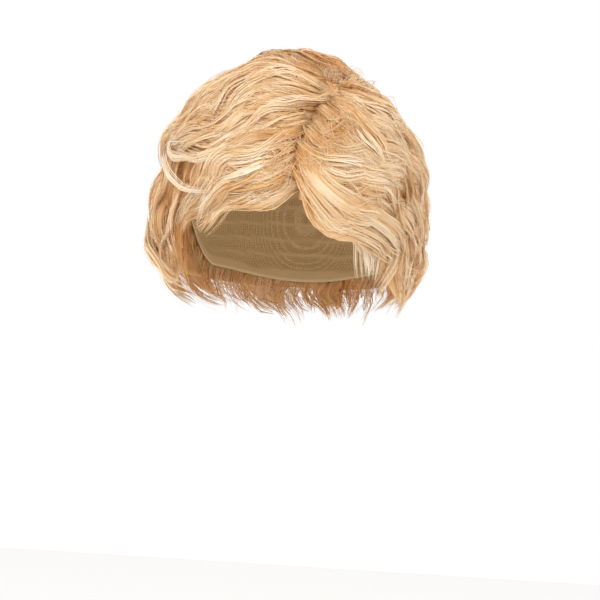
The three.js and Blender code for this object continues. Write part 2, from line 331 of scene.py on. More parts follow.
FIBRE_DEPTH = 0.22  # mm that fibres lie over and under their wisp
FRIZZ_PHASES = 6.28  # radians, one full turn
STRAY_ASIDE = 5  # mm that a stray fibre ends aside of its wisp, at most
STRAY_POWER = 1.3  # keeps it close until late
STRAY_RISE = (0.3, 2.6)  # mm that it ends above its wisp
STRAY_THINNING = 0.3  # how much thinner it is
FIBRE_TILT = 0.3  # radians between the faces of neighbouring fibres
FIBRE_WIDTHS = (0.8, 1.2)  # each fibre's own width, as a share of the usual
TIP_THINNING = 0.8  # how much of a fibre's width is gone at its tip
OWN_CREST = 0.7  # how much a wisp's own wave adds to the painted crest light and trough shade, against the lock's
TOP_DEPTH = 0.5  # of the layers in a single wisp


def painted_parting_shade(points):
    """How much painted shade hair gets at points near the parting, where it stands up in its own shade."""
    turns, drops = np.array(PARTING, float).T
    stops = on_head(turns, drops, PARTING_LIFT)
    nearest = np.full(points.shape[:-1], np.inf)
    for a, b in zip(stops, stops[1:]):
        share = np.clip((points - a) @ (b - a) / ((b - a) @ (b - a)), 0, 1)
        nearest = np.minimum(nearest, np.linalg.norm(points - a - share[..., None] * (b - a), axis=-1))
    return PAINTED_PARTING_SHADE * np.exp(-((nearest / ROOT_SPREAD) ** 2))


def comb(line, wisps, fibres, depth=1.0, sink=0.0, stray=0.04, tone=0.0, wild=1.0, fine=1.0):
    """Fibres along a guide: their lines and sideways directions, widths and tones."""
    draw = generator
    count = wisps * fibres
    wisp = np.repeat(np.arange(wisps), fibres)
    stations = int(np.clip(round(line["length"] / STEP), MIN_STATIONS, MAX_STATIONS))
    step = np.linspace(0, 1, stations)[None]
    ramp = np.minimum(1, step * WAVE_GROWTH)

    def per_wisp(values):
        return values[wisp][:, None]

    # Each wisp's own place, layer, ends and shade
    place = (np.arange(wisps) + draw.uniform(*PLACE_JITTER, wisps)) / wisps * 2 - 1
    layer = draw.permutation(wisps) / max(1, wisps - 1)
    start = draw.uniform(0, WISP_STARTS, wisps)
    end = 1 - draw.uniform(0, WISP_ENDS, wisps) / line["length"]
    # Painted shade on the deeper wisps, and on the sides of the lock where the next one covers it
    shade = draw.normal(0, WISP_SHADE, wisps) - PAINTED_DEPTH_SHADE * layer - PAINTED_EDGE_SHADE * place**2 + tone

    # Where along the guide each fibre's stations are
    first = start[wisp] + draw.uniform(0, FIBRE_STARTS, count)
    last = end[wisp] - draw.exponential(FIBRE_ENDS, count) / line["length"]
    last = np.maximum(last, first + SHORTEST)
    share = first[:, None] + (last - first)[:, None] * step
    run = share * line["length"]
    half_width = np.maximum(at(line["half_width"], share), SLIMMEST)
    thickness = np.maximum(at(line["thickness"], share), SLIMMEST)

    # The middle of the wisp
    phase = draw.uniform(0, 2 * np.pi) + draw.normal(0, PHASE_SPREAD, wisps)
    wave = 2 * np.pi * run / draw.uniform(*SET_WAVES) + per_wisp(phase)
    wildness = wild * (TAME + (1 - TAME) * np.minimum(draw.exponential(1.0, wisps), WILDEST))
    sway, dip, roll = np.zeros_like(run), np.zeros_like(run), np.zeros_like(run)
    for length in DRIFTS:
        for total, amount in ((sway, DRIFT_ACROSS), (dip, DRIFT_OUT), (roll, ROLL)):
            turn = 2 * np.pi * run / length + per_wisp(draw.uniform(0, 2 * np.pi, wisps))
            total += amount * per_wisp(wildness * draw.normal(0, DRIFT_SPREAD, wisps)) * np.sin(turn)
    sway = (sway + OWN_SWAY * per_wisp(wildness) * np.sin(wave)) * ramp
    dip = (dip + OWN_LIFT * per_wisp(wildness) * np.cos(wave)) * ramp
    middle = per_wisp(place) * np.maximum(half_width - EDGE_MARGIN, 0)
    bulge = np.sqrt(np.clip(1 - np.clip(per_wisp(place), -1, 1) ** 2, 0, 1)) - 1
    below = bulge * thickness * 0.5 - per_wisp(layer) * depth - sink

    # The fibre's own place in the wisp
    side = np.clip(draw.normal(0, SIDE_SPREAD, count), -SIDE_LIMIT, SIDE_LIMIT)
    wide = per_wisp(draw.uniform(*WISP_WIDTHS, wisps)) * (WISP_HALF + half_width / wisps)
    wide = wide * (1 - PINCH * step**PINCH_POWER)
    aside = side[:, None] * wide
    over = (draw.normal(0, FIBRE_DEPTH, count) - CUP * side**2)[:, None] + np.zeros_like(run)
    for length in FRIZZ_LENGTHS:
        turn = 2 * np.pi * run / length
        for total, curve in ((aside, np.sin), (over, np.cos)):
            size = draw.normal(0, 1, count)[:, None]
            begin = draw.uniform(0, FRIZZ_PHASES, count)[:, None]
            total += FRIZZ * wild * size * curve(turn + begin)
    strays = (draw.uniform(0, 1, count) < stray)[:, None]
    aside += strays * draw.uniform(-STRAY_ASIDE, STRAY_ASIDE, count)[:, None] * step**STRAY_POWER
    over += strays * draw.uniform(*STRAY_RISE, count)[:, None] * step

    across, out = at(line["across"], share), at(line["out"], share)
    cos, sin = np.cos(roll), np.sin(roll)
    x = middle + sway + aside * cos - over * sin
    y = np.minimum(below + dip + aside * sin + over * cos, HIGHEST)
    placed = at(line["face"], share) + across * x[..., None] + out * y[..., None]
    lines = clear_of_cap(placed, CAP_CLEARANCE)
    tilt = roll + draw.normal(0, FIBRE_TILT, count)[:, None]
    sideways = across * np.cos(tilt)[..., None] + out * np.sin(tilt)[..., None]
    widths = FIBRE_WIDTH * fine * draw.uniform(*FIBRE_WIDTHS, count)[:, None]
    widths = widths * (1 - TIP_THINNING * step**3) * (1 - STRAY_THINNING * strays)
    own = per_wisp(shade) + draw.normal(0, FIBRE_SHADE, count)[:, None]
    # Painted light on the crest of each wave and painted shade in its trough
    crest = at(line["crest"], share) + OWN_CREST * np.cos(wave) * ramp
    # Painted light towards the tips, and painted shade at the roots and near the parting
    tones = SURFACE_TONE + own + PAINTED_TIP_LIGHT * (step - 0.5) + PAINTED_CREST_LIGHT * crest - painted_parting_shade(lines)
    return lines, sideways, widths, tones


def fibre_mesh(name, combed):
    """One piece from the fibres of many guides."""
    skins = []
    for lines, sideways, widths, tones in combed:
        skins.append((*prisms(lines, sideways, widths), {"tone": np.repeat(tones.ravel(), SIDES)}))
    fibres = sum(len(lines) for lines, *_ in combed)
    return joined_mesh(name, f"{fibres} fibres", skins, sharp_step=SIDES)


# %% [markdown]
# ## What lies under the fibres
# A wig is dense: between the fibres that catch the light there are always more. So that
# nothing shines through, each section also has a body, with a rounded and grooved core under
# each lock and a bed of packed hair on the cap. Its colour is painted shade, a shade deeper,
# because it lies in shadow, but not dark, because pale hair lets light through. The grooves
# get painted shade too, and the crests of the waves painted light. The corners keep how far
# they lie across and along the lock, for the streaks of its material.

# %% Cores and beds
CORE_SIDES = 26
CORE_STATIONS = 26
CORE_END = 0.85  # share of the lock's length
CORE_WIDTH = 0.86  # of the lock's
CORE_THICKNESS = 0.92
CORE_SINK = 1.7  # mm under the lock's outer face
CORE_TIP = 0.02  # how thick a core is at its very end
CORE_TAPER = 3  # powers that keep a core full, and then round its end
CORE_ROUNDING = 0.7
CORE_SHADING = 0.5  # of the painted shade that fibres have at a lock's sides and the parting
GROOVES = 9
GROOVE_DEPTH = 0.06
GROOVE_TWIST = 1.2  # radians that the grooves turn about the lock on their way
# The cores' tone is painted shade: deeper than the hair on top, as they lie in shadow
CORE_SHADED_TONE = 0.58
# painted shade in the grooves of a core, and painted light on its ridges
GROOVE_PAINTED_SHADE = 0.08
BED_INNER = 3.0  # lift of a bed's inside, off the cap
BED_OUTER = 10.5
BED_GRID = 3.0  # degrees
# The beds' tone is painted shade, deeper still
BED_SHADED_TONE = 0.36
BED_START = 0.5  # degrees of drop where the bed of the crown begins
BED_FADE = 9.0  # degrees over which a bed thins towards its lower edge
BED_EDGE = 0.6  # mm thick along that edge
MM_PER_DEGREE = 1.7  # on the head
STREAK_PLACES = 97  # mm of the streaks' pattern, among which each core has its own place


def loft(rings, values, closed_loop=False):
    """Corners, quads, end triangles and values of a closed skin over rings of points."""
    rows, sides, _ = rings.shape
    index = np.arange(rows * sides).reshape(rows, sides)
    turned = np.roll(index, -1, axis=1)
    if closed_loop:
        ahead, ahead_turned = np.roll(index, -1, axis=0), np.roll(turned, -1, axis=0)
    else:
        ahead, ahead_turned = index[1:], turned[1:]
    here, here_turned = index[: len(ahead)], turned[: len(ahead)]
    quads = np.stack([here, here_turned, ahead_turned, ahead], -1).reshape(-1, 4)
    corners = rings.reshape(-1, 3)
    values = {name: value.reshape(rows * sides, *value.shape[2:]) for name, value in values.items()}
    triangles = np.zeros((0, 3), int)
    if not closed_loop:
        tips = len(corners) + np.arange(2)
        corners = np.vstack([corners, rings[0].mean(0), rings[-1].mean(0)])
        start = np.stack([np.full(sides, tips[0]), turned[0], index[0]], -1)
        stop = np.stack([np.full(sides, tips[1]), index[-1], turned[-1]], -1)
        triangles = np.concatenate([start, stop])
        values = {name: np.concatenate([value, value[:1], value[-1:]]) for name, value in values.items()}
    return corners, quads, triangles, values


def core(line, tone):
    """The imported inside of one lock."""
    share = np.linspace(0, CORE_END, CORE_STATIONS)
    angles = 2 * np.pi * np.arange(CORE_SIDES) / CORE_SIDES - np.pi / 2
    ripple = np.cos(GROOVES * angles[None] + GROOVE_TWIST * GROOVES * share[:, None] + place_seed(line))
    groove = 1 + GROOVE_DEPTH * ripple
    taper = np.clip(1 - (share / CORE_END) ** CORE_TAPER, CORE_TIP, 1) ** CORE_ROUNDING
    deep = at(line["thickness"], share) / 2 * CORE_THICKNESS * taper
    wide = at(line["half_width"], share) * CORE_WIDTH * taper
    middle = at(line["face"], share) - at(line["out"], share) * (deep + CORE_SINK)[:, None]
    rings = (
        middle[:, None]
        + at(line["across"], share)[:, None] * (wide[:, None] * np.cos(angles) * groove)[..., None]
        + at(line["out"], share)[:, None] * (deep[:, None] * np.sin(angles) * groove)[..., None]
    )
    rings = clear_of_cap(rings, BED_INNER)
    # The core's tone: painted shade all over, painted shade in its grooves, and painted light on its crests
    tones = CORE_SHADED_TONE + tone + GROOVE_PAINTED_SHADE * ripple + PAINTED_CREST_LIGHT * at(line["crest"], share)[:, None]
    # Painted shade on the core's sides, where the next lock covers it
    tones = tones - CORE_SHADING * PAINTED_EDGE_SHADE * np.cos(angles)[None] ** 2
    # Painted shade near the parting
    tones = tones - CORE_SHADING * painted_parting_shade(rings)
    around = angles[None] * line["half_width"].mean() + 0 * share[:, None]
    ahead = share[:, None] * line["length"] + 0 * around
    combing = np.stack([around, ahead, 0 * around + place_seed(line)], -1)
    return loft(rings, {"tone": tones, "combing": combing})


def place_seed(line):
    """A number of its own for each guide, so that no two cores have the same streaks."""
    return float(np.abs(line["face"]).sum() % STREAK_PLACES)


def bed(turns, drops):
    """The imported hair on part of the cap, thin along its lower edge."""
    whole = turns[1] - turns[0] == 360
    columns = round((turns[1] - turns[0]) / BED_GRID)
    rows = round((drops[1] - drops[0]) / BED_GRID)
    turn = turns[0] + (turns[1] - turns[0]) * np.arange(columns + (not whole)) / columns
    down = np.linspace(max(drops[0], BED_START), drops[1], rows + 1)
    edge = np.clip((drops[1] - down) / BED_FADE, 0, 1)
    outer = BED_INNER + BED_EDGE + (BED_OUTER - BED_INNER - BED_EDGE) * np.sqrt(1 - (1 - edge) ** 2)
    drop_ring = np.concatenate([down[::-1], down])
    lift_ring = np.concatenate([np.full(rows + 1, BED_INNER), outer])
    rings = on_head(turn[:, None], drop_ring[None], lift_ring[None])
    flat = np.ones(rings.shape[:2])
    around = flat * turn[:, None] * MM_PER_DEGREE
    combing = np.stack([around, flat * drop_ring[None] * MM_PER_DEGREE, 0 * flat], -1)
    # Painted shade all over the bed
    return loft(rings, {"tone": BED_SHADED_TONE * flat, "combing": combing}, closed_loop=whole)


def body_mesh(name, solids):
    """One piece from the closed skins of a section's cores and bed."""
    return joined_mesh(name, f"{len(solids)} closed skins", solids)


# %% [markdown]
# ## Modacrylic fibre, heat-set in waves
# Costume wigs are made of modacrylic: solution-dyed, so the colour goes right through, extruded
# round and smooth, so that it shines a little more than real hair, and set in waves by heat.
# Its refractive index is about 1.52. Several batches of colour are blended before sewing, from
# deep honey to pale straw. The tone attribute chooses between them, and it also carries the
# painted shade and painted light of the hair.

# %% Materials for the hair
def linear(hex_colour):
    """A linear colour from an sRGB hex value such as D9B57F."""
    parts = [int(hex_colour[i : i + 2], 16) / 255 for i in (0, 2, 4)]
    return (*(p / 12.92 if p <= 0.04045 else ((p + 0.055) / 1.055) ** 2.4 for p in parts), 1.0)


def add_node(tree, kind, settings=None, values=None, links=None):
    """Adds a node, with its settings, the values of its sockets, and links into them."""
    node = tree.nodes.new(kind)
    for name, value in (settings or {}).items():
        setattr(node, name, value)
    for name, value in (values or {}).items():
        node.inputs[name].default_value = value
    for name, socket in (links or {}).items():
        tree.links.new(socket, node.inputs[name])
    return node


def new_material(name):
    """An empty node material and its tree."""
    material = bpy.data.materials.new(name)
    material.use_nodes = True
    material.node_tree.nodes.clear()
    return material, material.node_tree


def finish_material(tree, shader):
    """Joins a shader to the material's output."""
    add_node(tree, "ShaderNodeOutputMaterial", links={"Surface": shader.outputs["BSDF"]})


def set_stops(ramp, stops):
    """Gives a colour ramp its stops of (place, hex colour)."""
    elements = ramp.color_ramp.elements
    while len(elements) < len(stops):
        elements.new(0.5)
    for element, (place, colour) in zip(elements, stops):
        element.position = place
        element.color = linear(colour)


# The blended batches, from deep honey to pale straw; painted shade reaches mostly the deep end, painted
# light the pale end
FIBRE_BATCHES_AND_SHADES = [(0.0, "A2561A"), (0.22, "C78442"), (0.45, "E2B27A"), (0.7, "F3D5AB"), (1.0, "FEEFD8")]
PATCH_SIZE = 0.024  # of the lighter and darker patches that blending leaves
PATCH_SHARE = 0.34
STREAK_ACROSS = 1.4  # streaks for each mm; real fibres would be twelve
STREAK_ALONG = 0.03
STREAK_SHARE = 1.0


def modacrylic_fibre():
    """The fibre: blended batches of dyed colour and painted shade and light, smooth, with combed streaks on
    packed hair.
    """
    material, tree = new_material("modacrylic_fibre_blended_blond")
    tone = add_node(tree, "ShaderNodeAttribute", {"attribute_name": "tone"})
    combing = add_node(tree, "ShaderNodeAttribute", {"attribute_name": "combing"})
    place = add_node(tree, "ShaderNodeTexCoord")
    patches = add_node(
        tree,
        "ShaderNodeTexNoise",
        values={"Scale": 1 / PATCH_SIZE, "Detail": 1.5},
        links={"Vector": place.outputs["Object"]},
    )
    combed = add_node(
        tree,
        "ShaderNodeVectorMath",
        {"operation": "MULTIPLY"},
        {1: (STREAK_ACROSS, STREAK_ALONG, 1.0)},
        {0: combing.outputs["Vector"]},
    )
    streaks = add_node(
        tree,
        "ShaderNodeTexNoise",
        values={"Scale": 1.0, "Detail": 3.0},
        links={"Vector": combed.outputs["Vector"]},
    )
    patched = add_node(
        tree,
        "ShaderNodeMath",
        {"operation": "MULTIPLY_ADD"},
        {1: PATCH_SHARE},
        {0: patches.outputs["Fac"], 2: tone.outputs["Fac"]},
    )
    streaked = add_node(
        tree,
        "ShaderNodeMath",
        {"operation": "MULTIPLY_ADD"},
        {1: STREAK_SHARE},
        {0: streaks.outputs["Fac"], 2: patched.outputs["Value"]},
    )
    # A noise is 0.5 on average, which comes off again
    level = add_node(
        tree,
        "ShaderNodeMath",
        {"operation": "SUBTRACT"},
        {1: 0.5 * (PATCH_SHARE + STREAK_SHARE)},
        {0: streaked.outputs["Value"]},
    )
    ramp = add_node(tree, "ShaderNodeValToRGB", links={"Fac": level.outputs["Value"]})
    set_stops(ramp, FIBRE_BATCHES_AND_SHADES)
    relief = add_node(
        tree,
        "ShaderNodeBump",
        values={"Strength": 0.4, "Distance": 0.0006},
        links={"Height": streaks.outputs["Fac"]},
    )
    shader = add_node(
        tree,
        "ShaderNodeBsdfPrincipled",
        values={
            "Roughness": 0.42,
            "IOR": 1.52,
            "Specular IOR Level": 0.32,
            "Specular Tint": linear("F8DDB4"),
        },
        links={"Base Color": ramp.outputs["Color"], "Normal": relief.outputs["Normal"]},
    )
    finish_material(tree, shader)
    return material


fibre = modacrylic_fibre()
print("material:", fibre.name)

# %% [markdown]
# ## The locks of each section
# The six sections are combed one by one from the tables below. Each row is a lock, with its
# width, its tone, lowered as painted shade for the locks under the tuft and raised as painted
# light for the sideburn, and the stops of its way, and the tables follow the ones that shape
# the solids. The ways start a little further back, on the parting or at the whorl, and those
# of the crown run on over the sides and the back, so that no lock begins or ends in the open.

# %% Lock tables
# Each row: width as a share of LOCK_WIDTH, tone, then stops of (turn, drop, lift), the lift as
# a share of HAIR_DEPTH
FRINGE_LEFT = [
    (0.8, 0.0, [(7, 60, 0.5), (12, 73, 0.7), (19, 85, 0.75), (30, 92, 0.72), (45, 96, 0.66),
                (54, 103, 0.5), (54, 112, 0.3)]),
    (1.0, 0.0, [(8, 55, 0.5), (16, 68, 0.8), (25, 78, 0.88), (38, 85, 0.88), (50, 91, 0.8),
                (60, 100, 0.6), (62, 110, 0.45)]),
    (1.0, -0.04, [(11, 50, 0.5), (20, 61, 0.82), (30, 69, 0.92), (42, 75, 0.95), (54, 82, 0.9),
                  (62, 92, 0.8), (66, 102, 0.7)]),
    (0.9, 0.04, [(17, 46, 0.5), (22, 57, 0.82), (31, 64, 0.92), (44, 67, 0.94), (58, 71, 0.93),
                 (69, 80, 0.9), (75, 92, 0.84)]),
    (1.1, 0.04, [(22, 38, 0.5), (27, 49, 0.84), (37, 57, 0.92), (50, 61, 0.93), (63, 67, 0.95),
                 (74, 78, 0.92)]),
]
# Painted light in the sideburn's tone
SIDEBURN = [(0.72, 0.28, [(37, 82, 0.5), (40, 93, 0.36), (42, 103, 0.32), (44, 113, 0.3)])]
FRINGE_RIGHT = [
    (0.7, 0.0, [(12, 71, 0.44), (2, 76, 0.5), (-9, 79, 0.56), (-19, 84, 0.52), (-27, 90, 0.42),
                (-33, 96, 0.36)]),
    (0.85, 0.0, [(11, 64, 0.46), (0, 70, 0.7), (-12, 73, 0.78), (-24, 79, 0.74), (-34, 86, 0.6),
                 (-43, 94, 0.46)]),
    (0.9, 0.04, [(12, 56, 0.46), (-2, 62, 0.8), (-14, 65, 0.88), (-22, 68, 0.88), (-27, 75, 0.83),
                 (-32, 83, 0.7), (-38, 91, 0.55)]),
]
UPPER_RIGHT = [
    (0.8, 0.0, [(14, 51, 0.48), (0, 57, 0.8), (-13, 60, 0.88), (-26, 61, 0.9), (-37, 62, 0.9),
                (-46, 64, 0.86)]),
    (0.9, 0.0, [(16, 47, 0.48), (2, 51, 0.82), (-13, 54, 0.92), (-28, 57, 0.95), (-44, 57, 0.95),
                (-60, 59, 0.97)]),
    (1.0, 0.0, [(22, 38, 0.5), (5, 41, 0.85), (-13, 43, 0.95), (-30, 49, 0.96), (-46, 54, 0.96),
                (-62, 57, 0.98)]),
]
CROWN = [
    (1.0, 0.0, [(26, 35, 0.5), (5, 34, 0.85), (-17, 36, 0.95), (-36, 43, 0.97), (-52, 51, 0.99),
                (-66, 60, 1.02), (-74, 70, 0.86)]),
    (1.1, 0.03, [(29, 31, 0.5), (4, 27, 0.9), (-22, 28, 0.96), (-46, 36, 0.94), (-64, 46, 0.93),
                 (-74, 56, 0.94), (-82, 68, 0.82)]),
    (1.1, 0.0, [(28, 28, 0.5), (-10, 16, 0.92), (-60, 17, 0.84), (-80, 25, 0.76), (-87, 34, 0.83),
                (-92, 43, 0.82), (-96, 52, 0.84), (-98, 64, 0.8)]),
    # The next two locks, under the tuft, get painted shade in their tone
    (1.1, -0.12, [(30, 26, 0.5), (10, 8, 0.94), (-130, 14, 0.92), (-128, 34, 0.98), (-126, 50, 0.96),
                  (-122, 66, 0.92)]),
    (1.1, -0.1, [(36, 26, 0.5), (70, 9, 0.95), (-175, 17, 0.98), (-162, 34, 0.96), (-158, 48, 0.96),
                 (-150, 66, 0.92)]),
    (1.1, -0.04, [(38, 27, 0.5), (100, 16, 0.78), (150, 24, 0.9), (165, 38, 0.96), (168, 52, 0.95),
                  (178, 66, 0.92)]),
    (1.1, 0.05, [(38, 30, 0.5), (84, 25, 0.66), (112, 32, 0.74), (130, 44, 0.9), (138, 56, 0.96),
                 (148, 68, 0.92)]),
    (1.1, 0.06, [(34, 32, 0.5), (62, 33, 0.7), (84, 39, 0.74), (99, 50, 0.84), (108, 62, 0.95),
                 (116, 76, 0.94)]),
    (1.1, 0.08, [(30, 34, 0.5), (47, 40, 0.78), (64, 46, 0.86), (78, 56, 0.93), (84, 68, 0.98),
                 (88, 80, 0.92)]),
    (1.1, 0.03, [(26, 35, 0.5), (36, 44, 0.78), (50, 52, 0.9), (62, 59, 0.95), (72, 68, 0.97),
                 (78, 80, 0.92)]),
]
# Painted shade in the cowlick's tone
COWLICK = [(0.4, -0.12, [(160, 18, 0.94), (120, 12, 0.97), (86, 13, 0.94), (68, 19, 0.84), (60, 25, 0.78)])]
SIDE_LEFT = [
    (0.95, 0.0, [(76, 48, 0.6), (82, 62, 0.92), (87, 74, 0.9), (90, 84, 0.76), (91, 92, 0.66),
                 (92, 102, 0.7), (93, 108, 0.64)]),
    (0.9, -0.06, [(62, 66, 0.5), (66, 80, 0.75), (71, 94, 0.78), (77, 105, 0.7), (76, 115, 0.5)]),
    (0.9, 0.0, [(80, 74, 0.5), (84, 88, 0.74), (89, 98, 0.78), (90, 106, 0.8), (88, 114, 0.72),
                (82, 121, 0.74)]),
    (0.6, 0.03, [(62, 92, 0.45), (66, 104, 0.6), (72, 114, 0.62), (77, 123, 0.68), (77, 132, 0.76)]),
    (0.7, 0.0, [(92, 88, 0.5), (97, 102, 0.72), (97, 113, 0.64), (92, 121, 0.62), (86, 126, 0.7)]),
]
SIDE_RIGHT = [
    (0.95, 0.03, [(-64, 52, 0.68), (-73, 66, 0.78), (-79, 76, 0.9), (-82, 85, 1.02), (-84, 95, 1.1),
                  (-82, 105, 1.1), (-76, 114, 0.92), (-68, 121, 0.6)]),
    (0.9, -0.03, [(-54, 58, 0.62), (-60, 73, 0.74), (-64, 90, 0.85), (-67, 101, 0.82),
                  (-64, 112, 0.55), (-58, 119, 0.34)]),
    (0.7, -0.04, [(-47, 70, 0.4), (-50, 84, 0.5), (-55, 95, 0.5), (-57, 105, 0.4), (-54, 114, 0.28)]),
    (0.9, 0.0, [(-84, 62, 0.6), (-92, 76, 0.76), (-96, 86, 1.04), (-97, 97, 1.1), (-95, 108, 1.04),
                (-88, 118, 0.8)]),
    (0.8, -0.04, [(-76, 92, 0.45), (-80, 105, 0.66), (-78, 116, 0.5), (-72, 125, 0.34)]),
    (0.87, -0.04, [(-26, 67, 0.38), (-32, 75, 0.42), (-40, 83, 0.44), (-49, 91, 0.45),
                   (-56, 100, 0.43), (-57, 110, 0.36)]),
]
BACK_TURNS = (96, 264)
BACK_TIERS = [(38, 44, 5, 7), (64, 42, 6, -6), (90, 40, 6, 6)]  # root drop, length, locks, lean
BACK_LIFTS = (0.6, 0.88, 0.96, 0.86, 0.52)
BACK_WIDTH = 1.5
BACK_WAVE = 1.5  # half waves along a lock
BACK_SHAKE = 1.5  # degrees that a lock strays sideways and in its length
BACK_PHASE = 0.25  # radians between the sways of neighbours
BACK_TONE = 0.04


def back_tier(root, length, locks, lean):
    """One layer of the back: locks side by side that fall and sway, each a little its own way."""
    step = (BACK_TURNS[1] - BACK_TURNS[0]) / locks
    share = np.linspace(0, 1, len(BACK_LIFTS))
    rows = []
    for i in range(locks):
        own = generator.normal(0, 1, 4)
        bend = np.sin(np.pi * BACK_WAVE * share + BACK_PHASE * own[1])
        sway = (lean + BACK_SHAKE * own[0]) * bend
        turn = BACK_TURNS[0] + step * (i + 0.5) + sway
        drop = root + (length + BACK_SHAKE * own[2]) * share
        rows.append((BACK_WIDTH, BACK_TONE * own[3], list(zip(turn, drop, BACK_LIFTS))))
    return rows


# %% [markdown]
# ## The wisps that the eye follows
# On top of the locks lie single wisps, 3 to 9 mm wide, which give this wig its look: the two
# sweeps that part over the forehead, the curl that hooks round the temple, the thin loop at
# the wearer's right ear, made pale by a painted highlight, and the straight hairs in front of
# the left ear, made light by painted light. The tuft and the hollows behind the loop and under
# the side get painted shade. Most wisps wave a little by themselves. The loop, the curl and
# the straight hairs lie neat.

# %% Wisp tables
# Rows as in the lock tables
WISPS_CROWN = [
    (0.5, 0.08, [(24, 36, 0.66), (15, 33, 0.8), (4, 31, 0.9), (-8, 33, 0.95), (-15, 37, 0.99),
                 (-18, 42, 1.0), (-20, 48, 1.0), (-22, 54, 0.98)]),
    (0.45, 0.1, [(25, 35, 0.64), (14, 31, 0.8), (2, 29, 0.91), (-10, 30, 0.96), (-20, 35, 1.0),
                 (-24, 41, 1.01), (-26, 48, 1.0), (-28, 55, 0.98)]),
    (0.4, 0.05, [(23, 38, 0.62), (13, 39, 0.76), (5, 39, 0.86), (-4, 39, 0.92), (-11, 41, 0.96),
                 (-18, 46, 0.97)]),
    (0.4, 0.08, [(25, 39, 0.6), (17, 42, 0.74), (10, 44, 0.82), (4, 46, 0.88), (-4, 46, 0.94),
                 (-12, 48, 0.95), (-19, 53, 0.96)]),
    (0.26, -0.16, [(0, 46, 0.84), (-6, 48, 0.9), (-12, 52, 0.93), (-16, 55, 0.94), (-23, 58, 0.95),
                   (-34, 60, 0.95)]),
    (0.3, 0.1, [(9, 47, 0.86), (0, 48, 0.9), (-7, 51, 0.93), (-12, 56, 0.94), (-17, 59, 0.95),
                (-25, 63, 0.95)]),
    (0.4, 0.08, [(-8, 28, 0.96), (-20, 32, 1.0), (-28, 37, 1.02), (-32, 42, 1.02), (-34, 48, 1.01),
                 (-36, 55, 0.99)]),
    (0.36, 0.12, [(-14, 30, 0.96), (-28, 33, 0.98), (-36, 38, 0.98), (-41, 43, 0.98), (-44, 49, 0.98),
                  (-47, 56, 0.97)]),
    (0.34, 0.04, [(-40, 28, 0.9), (-50, 32, 0.91), (-57, 38, 0.93), (-60, 45, 0.94), (-61, 52, 0.94),
                  (-64, 59, 0.94)]),
    (0.45, 0.12, [(30, 37, 0.62), (42, 40, 0.8), (52, 42, 0.9), (59, 47, 0.91), (60, 54, 0.91),
                  (58, 62, 0.9)]),
    (0.4, 0.08, [(34, 35, 0.62), (49, 37, 0.8), (63, 39, 0.88), (73, 44, 0.93), (76, 53, 0.94),
                 (77, 63, 0.93)]),
    (0.3, 0.0, [(29, 33, 0.6), (13, 34, 0.66), (-4, 32, 0.82), (-16, 34, 0.9), (-25, 41, 0.92),
                (-31, 49, 0.94), (-38, 55, 0.95), (-50, 58, 0.98)]),
    (0.34, 0.1, [(28, 28, 0.65), (10, 30, 0.8), (-8, 28, 0.95), (-23, 30, 0.98), (-34, 35, 0.97),
                 (-42, 42, 0.96), (-48, 50, 0.96), (-54, 58, 0.98)]),
    (0.32, 0.02, [(26, 27, 0.7), (8, 26, 0.88), (-17, 22, 0.95), (-38, 26, 0.93), (-52, 31, 0.91),
                  (-56, 39, 0.93), (-60, 47, 0.95), (-62, 56, 0.96)]),
    # Painted shade in this wisp's tone, by the whorl
    (0.15, -0.25, [(25, 20, 0.7), (15, 19, 0.85), (5, 19, 0.95), (-6, 19, 1.0), (-18, 19, 1.0)]),
    (0.34, 0.08, [(36, 30, 0.58), (50, 29, 0.72), (59, 32, 0.8), (67, 35, 0.85), (77, 40, 0.86),
                  (86, 46, 0.92), (93, 53, 1.02), (98, 62, 1.02)]),
    (0.34, -0.04, [(34, 33, 0.58), (44, 34, 0.75), (52, 38, 0.86), (58, 42, 0.93), (65, 47, 0.96),
                   (72, 53, 0.99), (78, 60, 1.0), (82, 70, 0.98)]),
    (0.32, 0.02, [(33, 36, 0.58), (40, 39, 0.74), (47, 43, 0.84), (54, 49, 0.92), (60, 55, 0.96),
                  (65, 62, 0.98), (69, 70, 0.97)]),
]
# The tuft's wisps get painted shade in their tone
WISPS_TUFT = [
    (0.5, -0.24, [(-150, 16, 0.98), (-60, 12, 1.0), (-8, 19, 0.97), (8, 25, 0.93), (20, 30, 0.88),
                  (28, 33, 0.84)]),
    (0.5, -0.28, [(-160, 14, 0.98), (-90, 7, 1.0), (10, 12, 0.99), (28, 20, 0.94), (34, 26, 0.9),
                  (38, 31, 0.86)]),
    (0.5, -0.26, [(-170, 16, 0.98), (-140, 5, 1.01), (30, 9, 1.0), (44, 17, 0.96), (48, 24, 0.92),
                  (50, 29, 0.88)]),
    (0.4, -0.22, [(176, 18, 0.98), (150, 8, 1.01), (80, 9, 1.0), (64, 16, 0.94), (59, 22, 0.87),
                  (57, 26, 0.84)]),
    (0.26, -0.12, [(165, 20, 0.96), (130, 14, 0.99), (100, 13, 0.95), (88, 17, 0.84), (84, 21, 0.82),
                   (83, 25, 0.93)]),
    (0.2, -0.12, [(40, 31, 0.66), (52, 27, 0.78), (64, 25, 0.86), (76, 24.5, 0.98)]),
    (0.2, -0.08, [(44, 32, 0.66), (58, 29, 0.76), (70, 27.5, 0.82), (82, 27.5, 0.92)]),
]
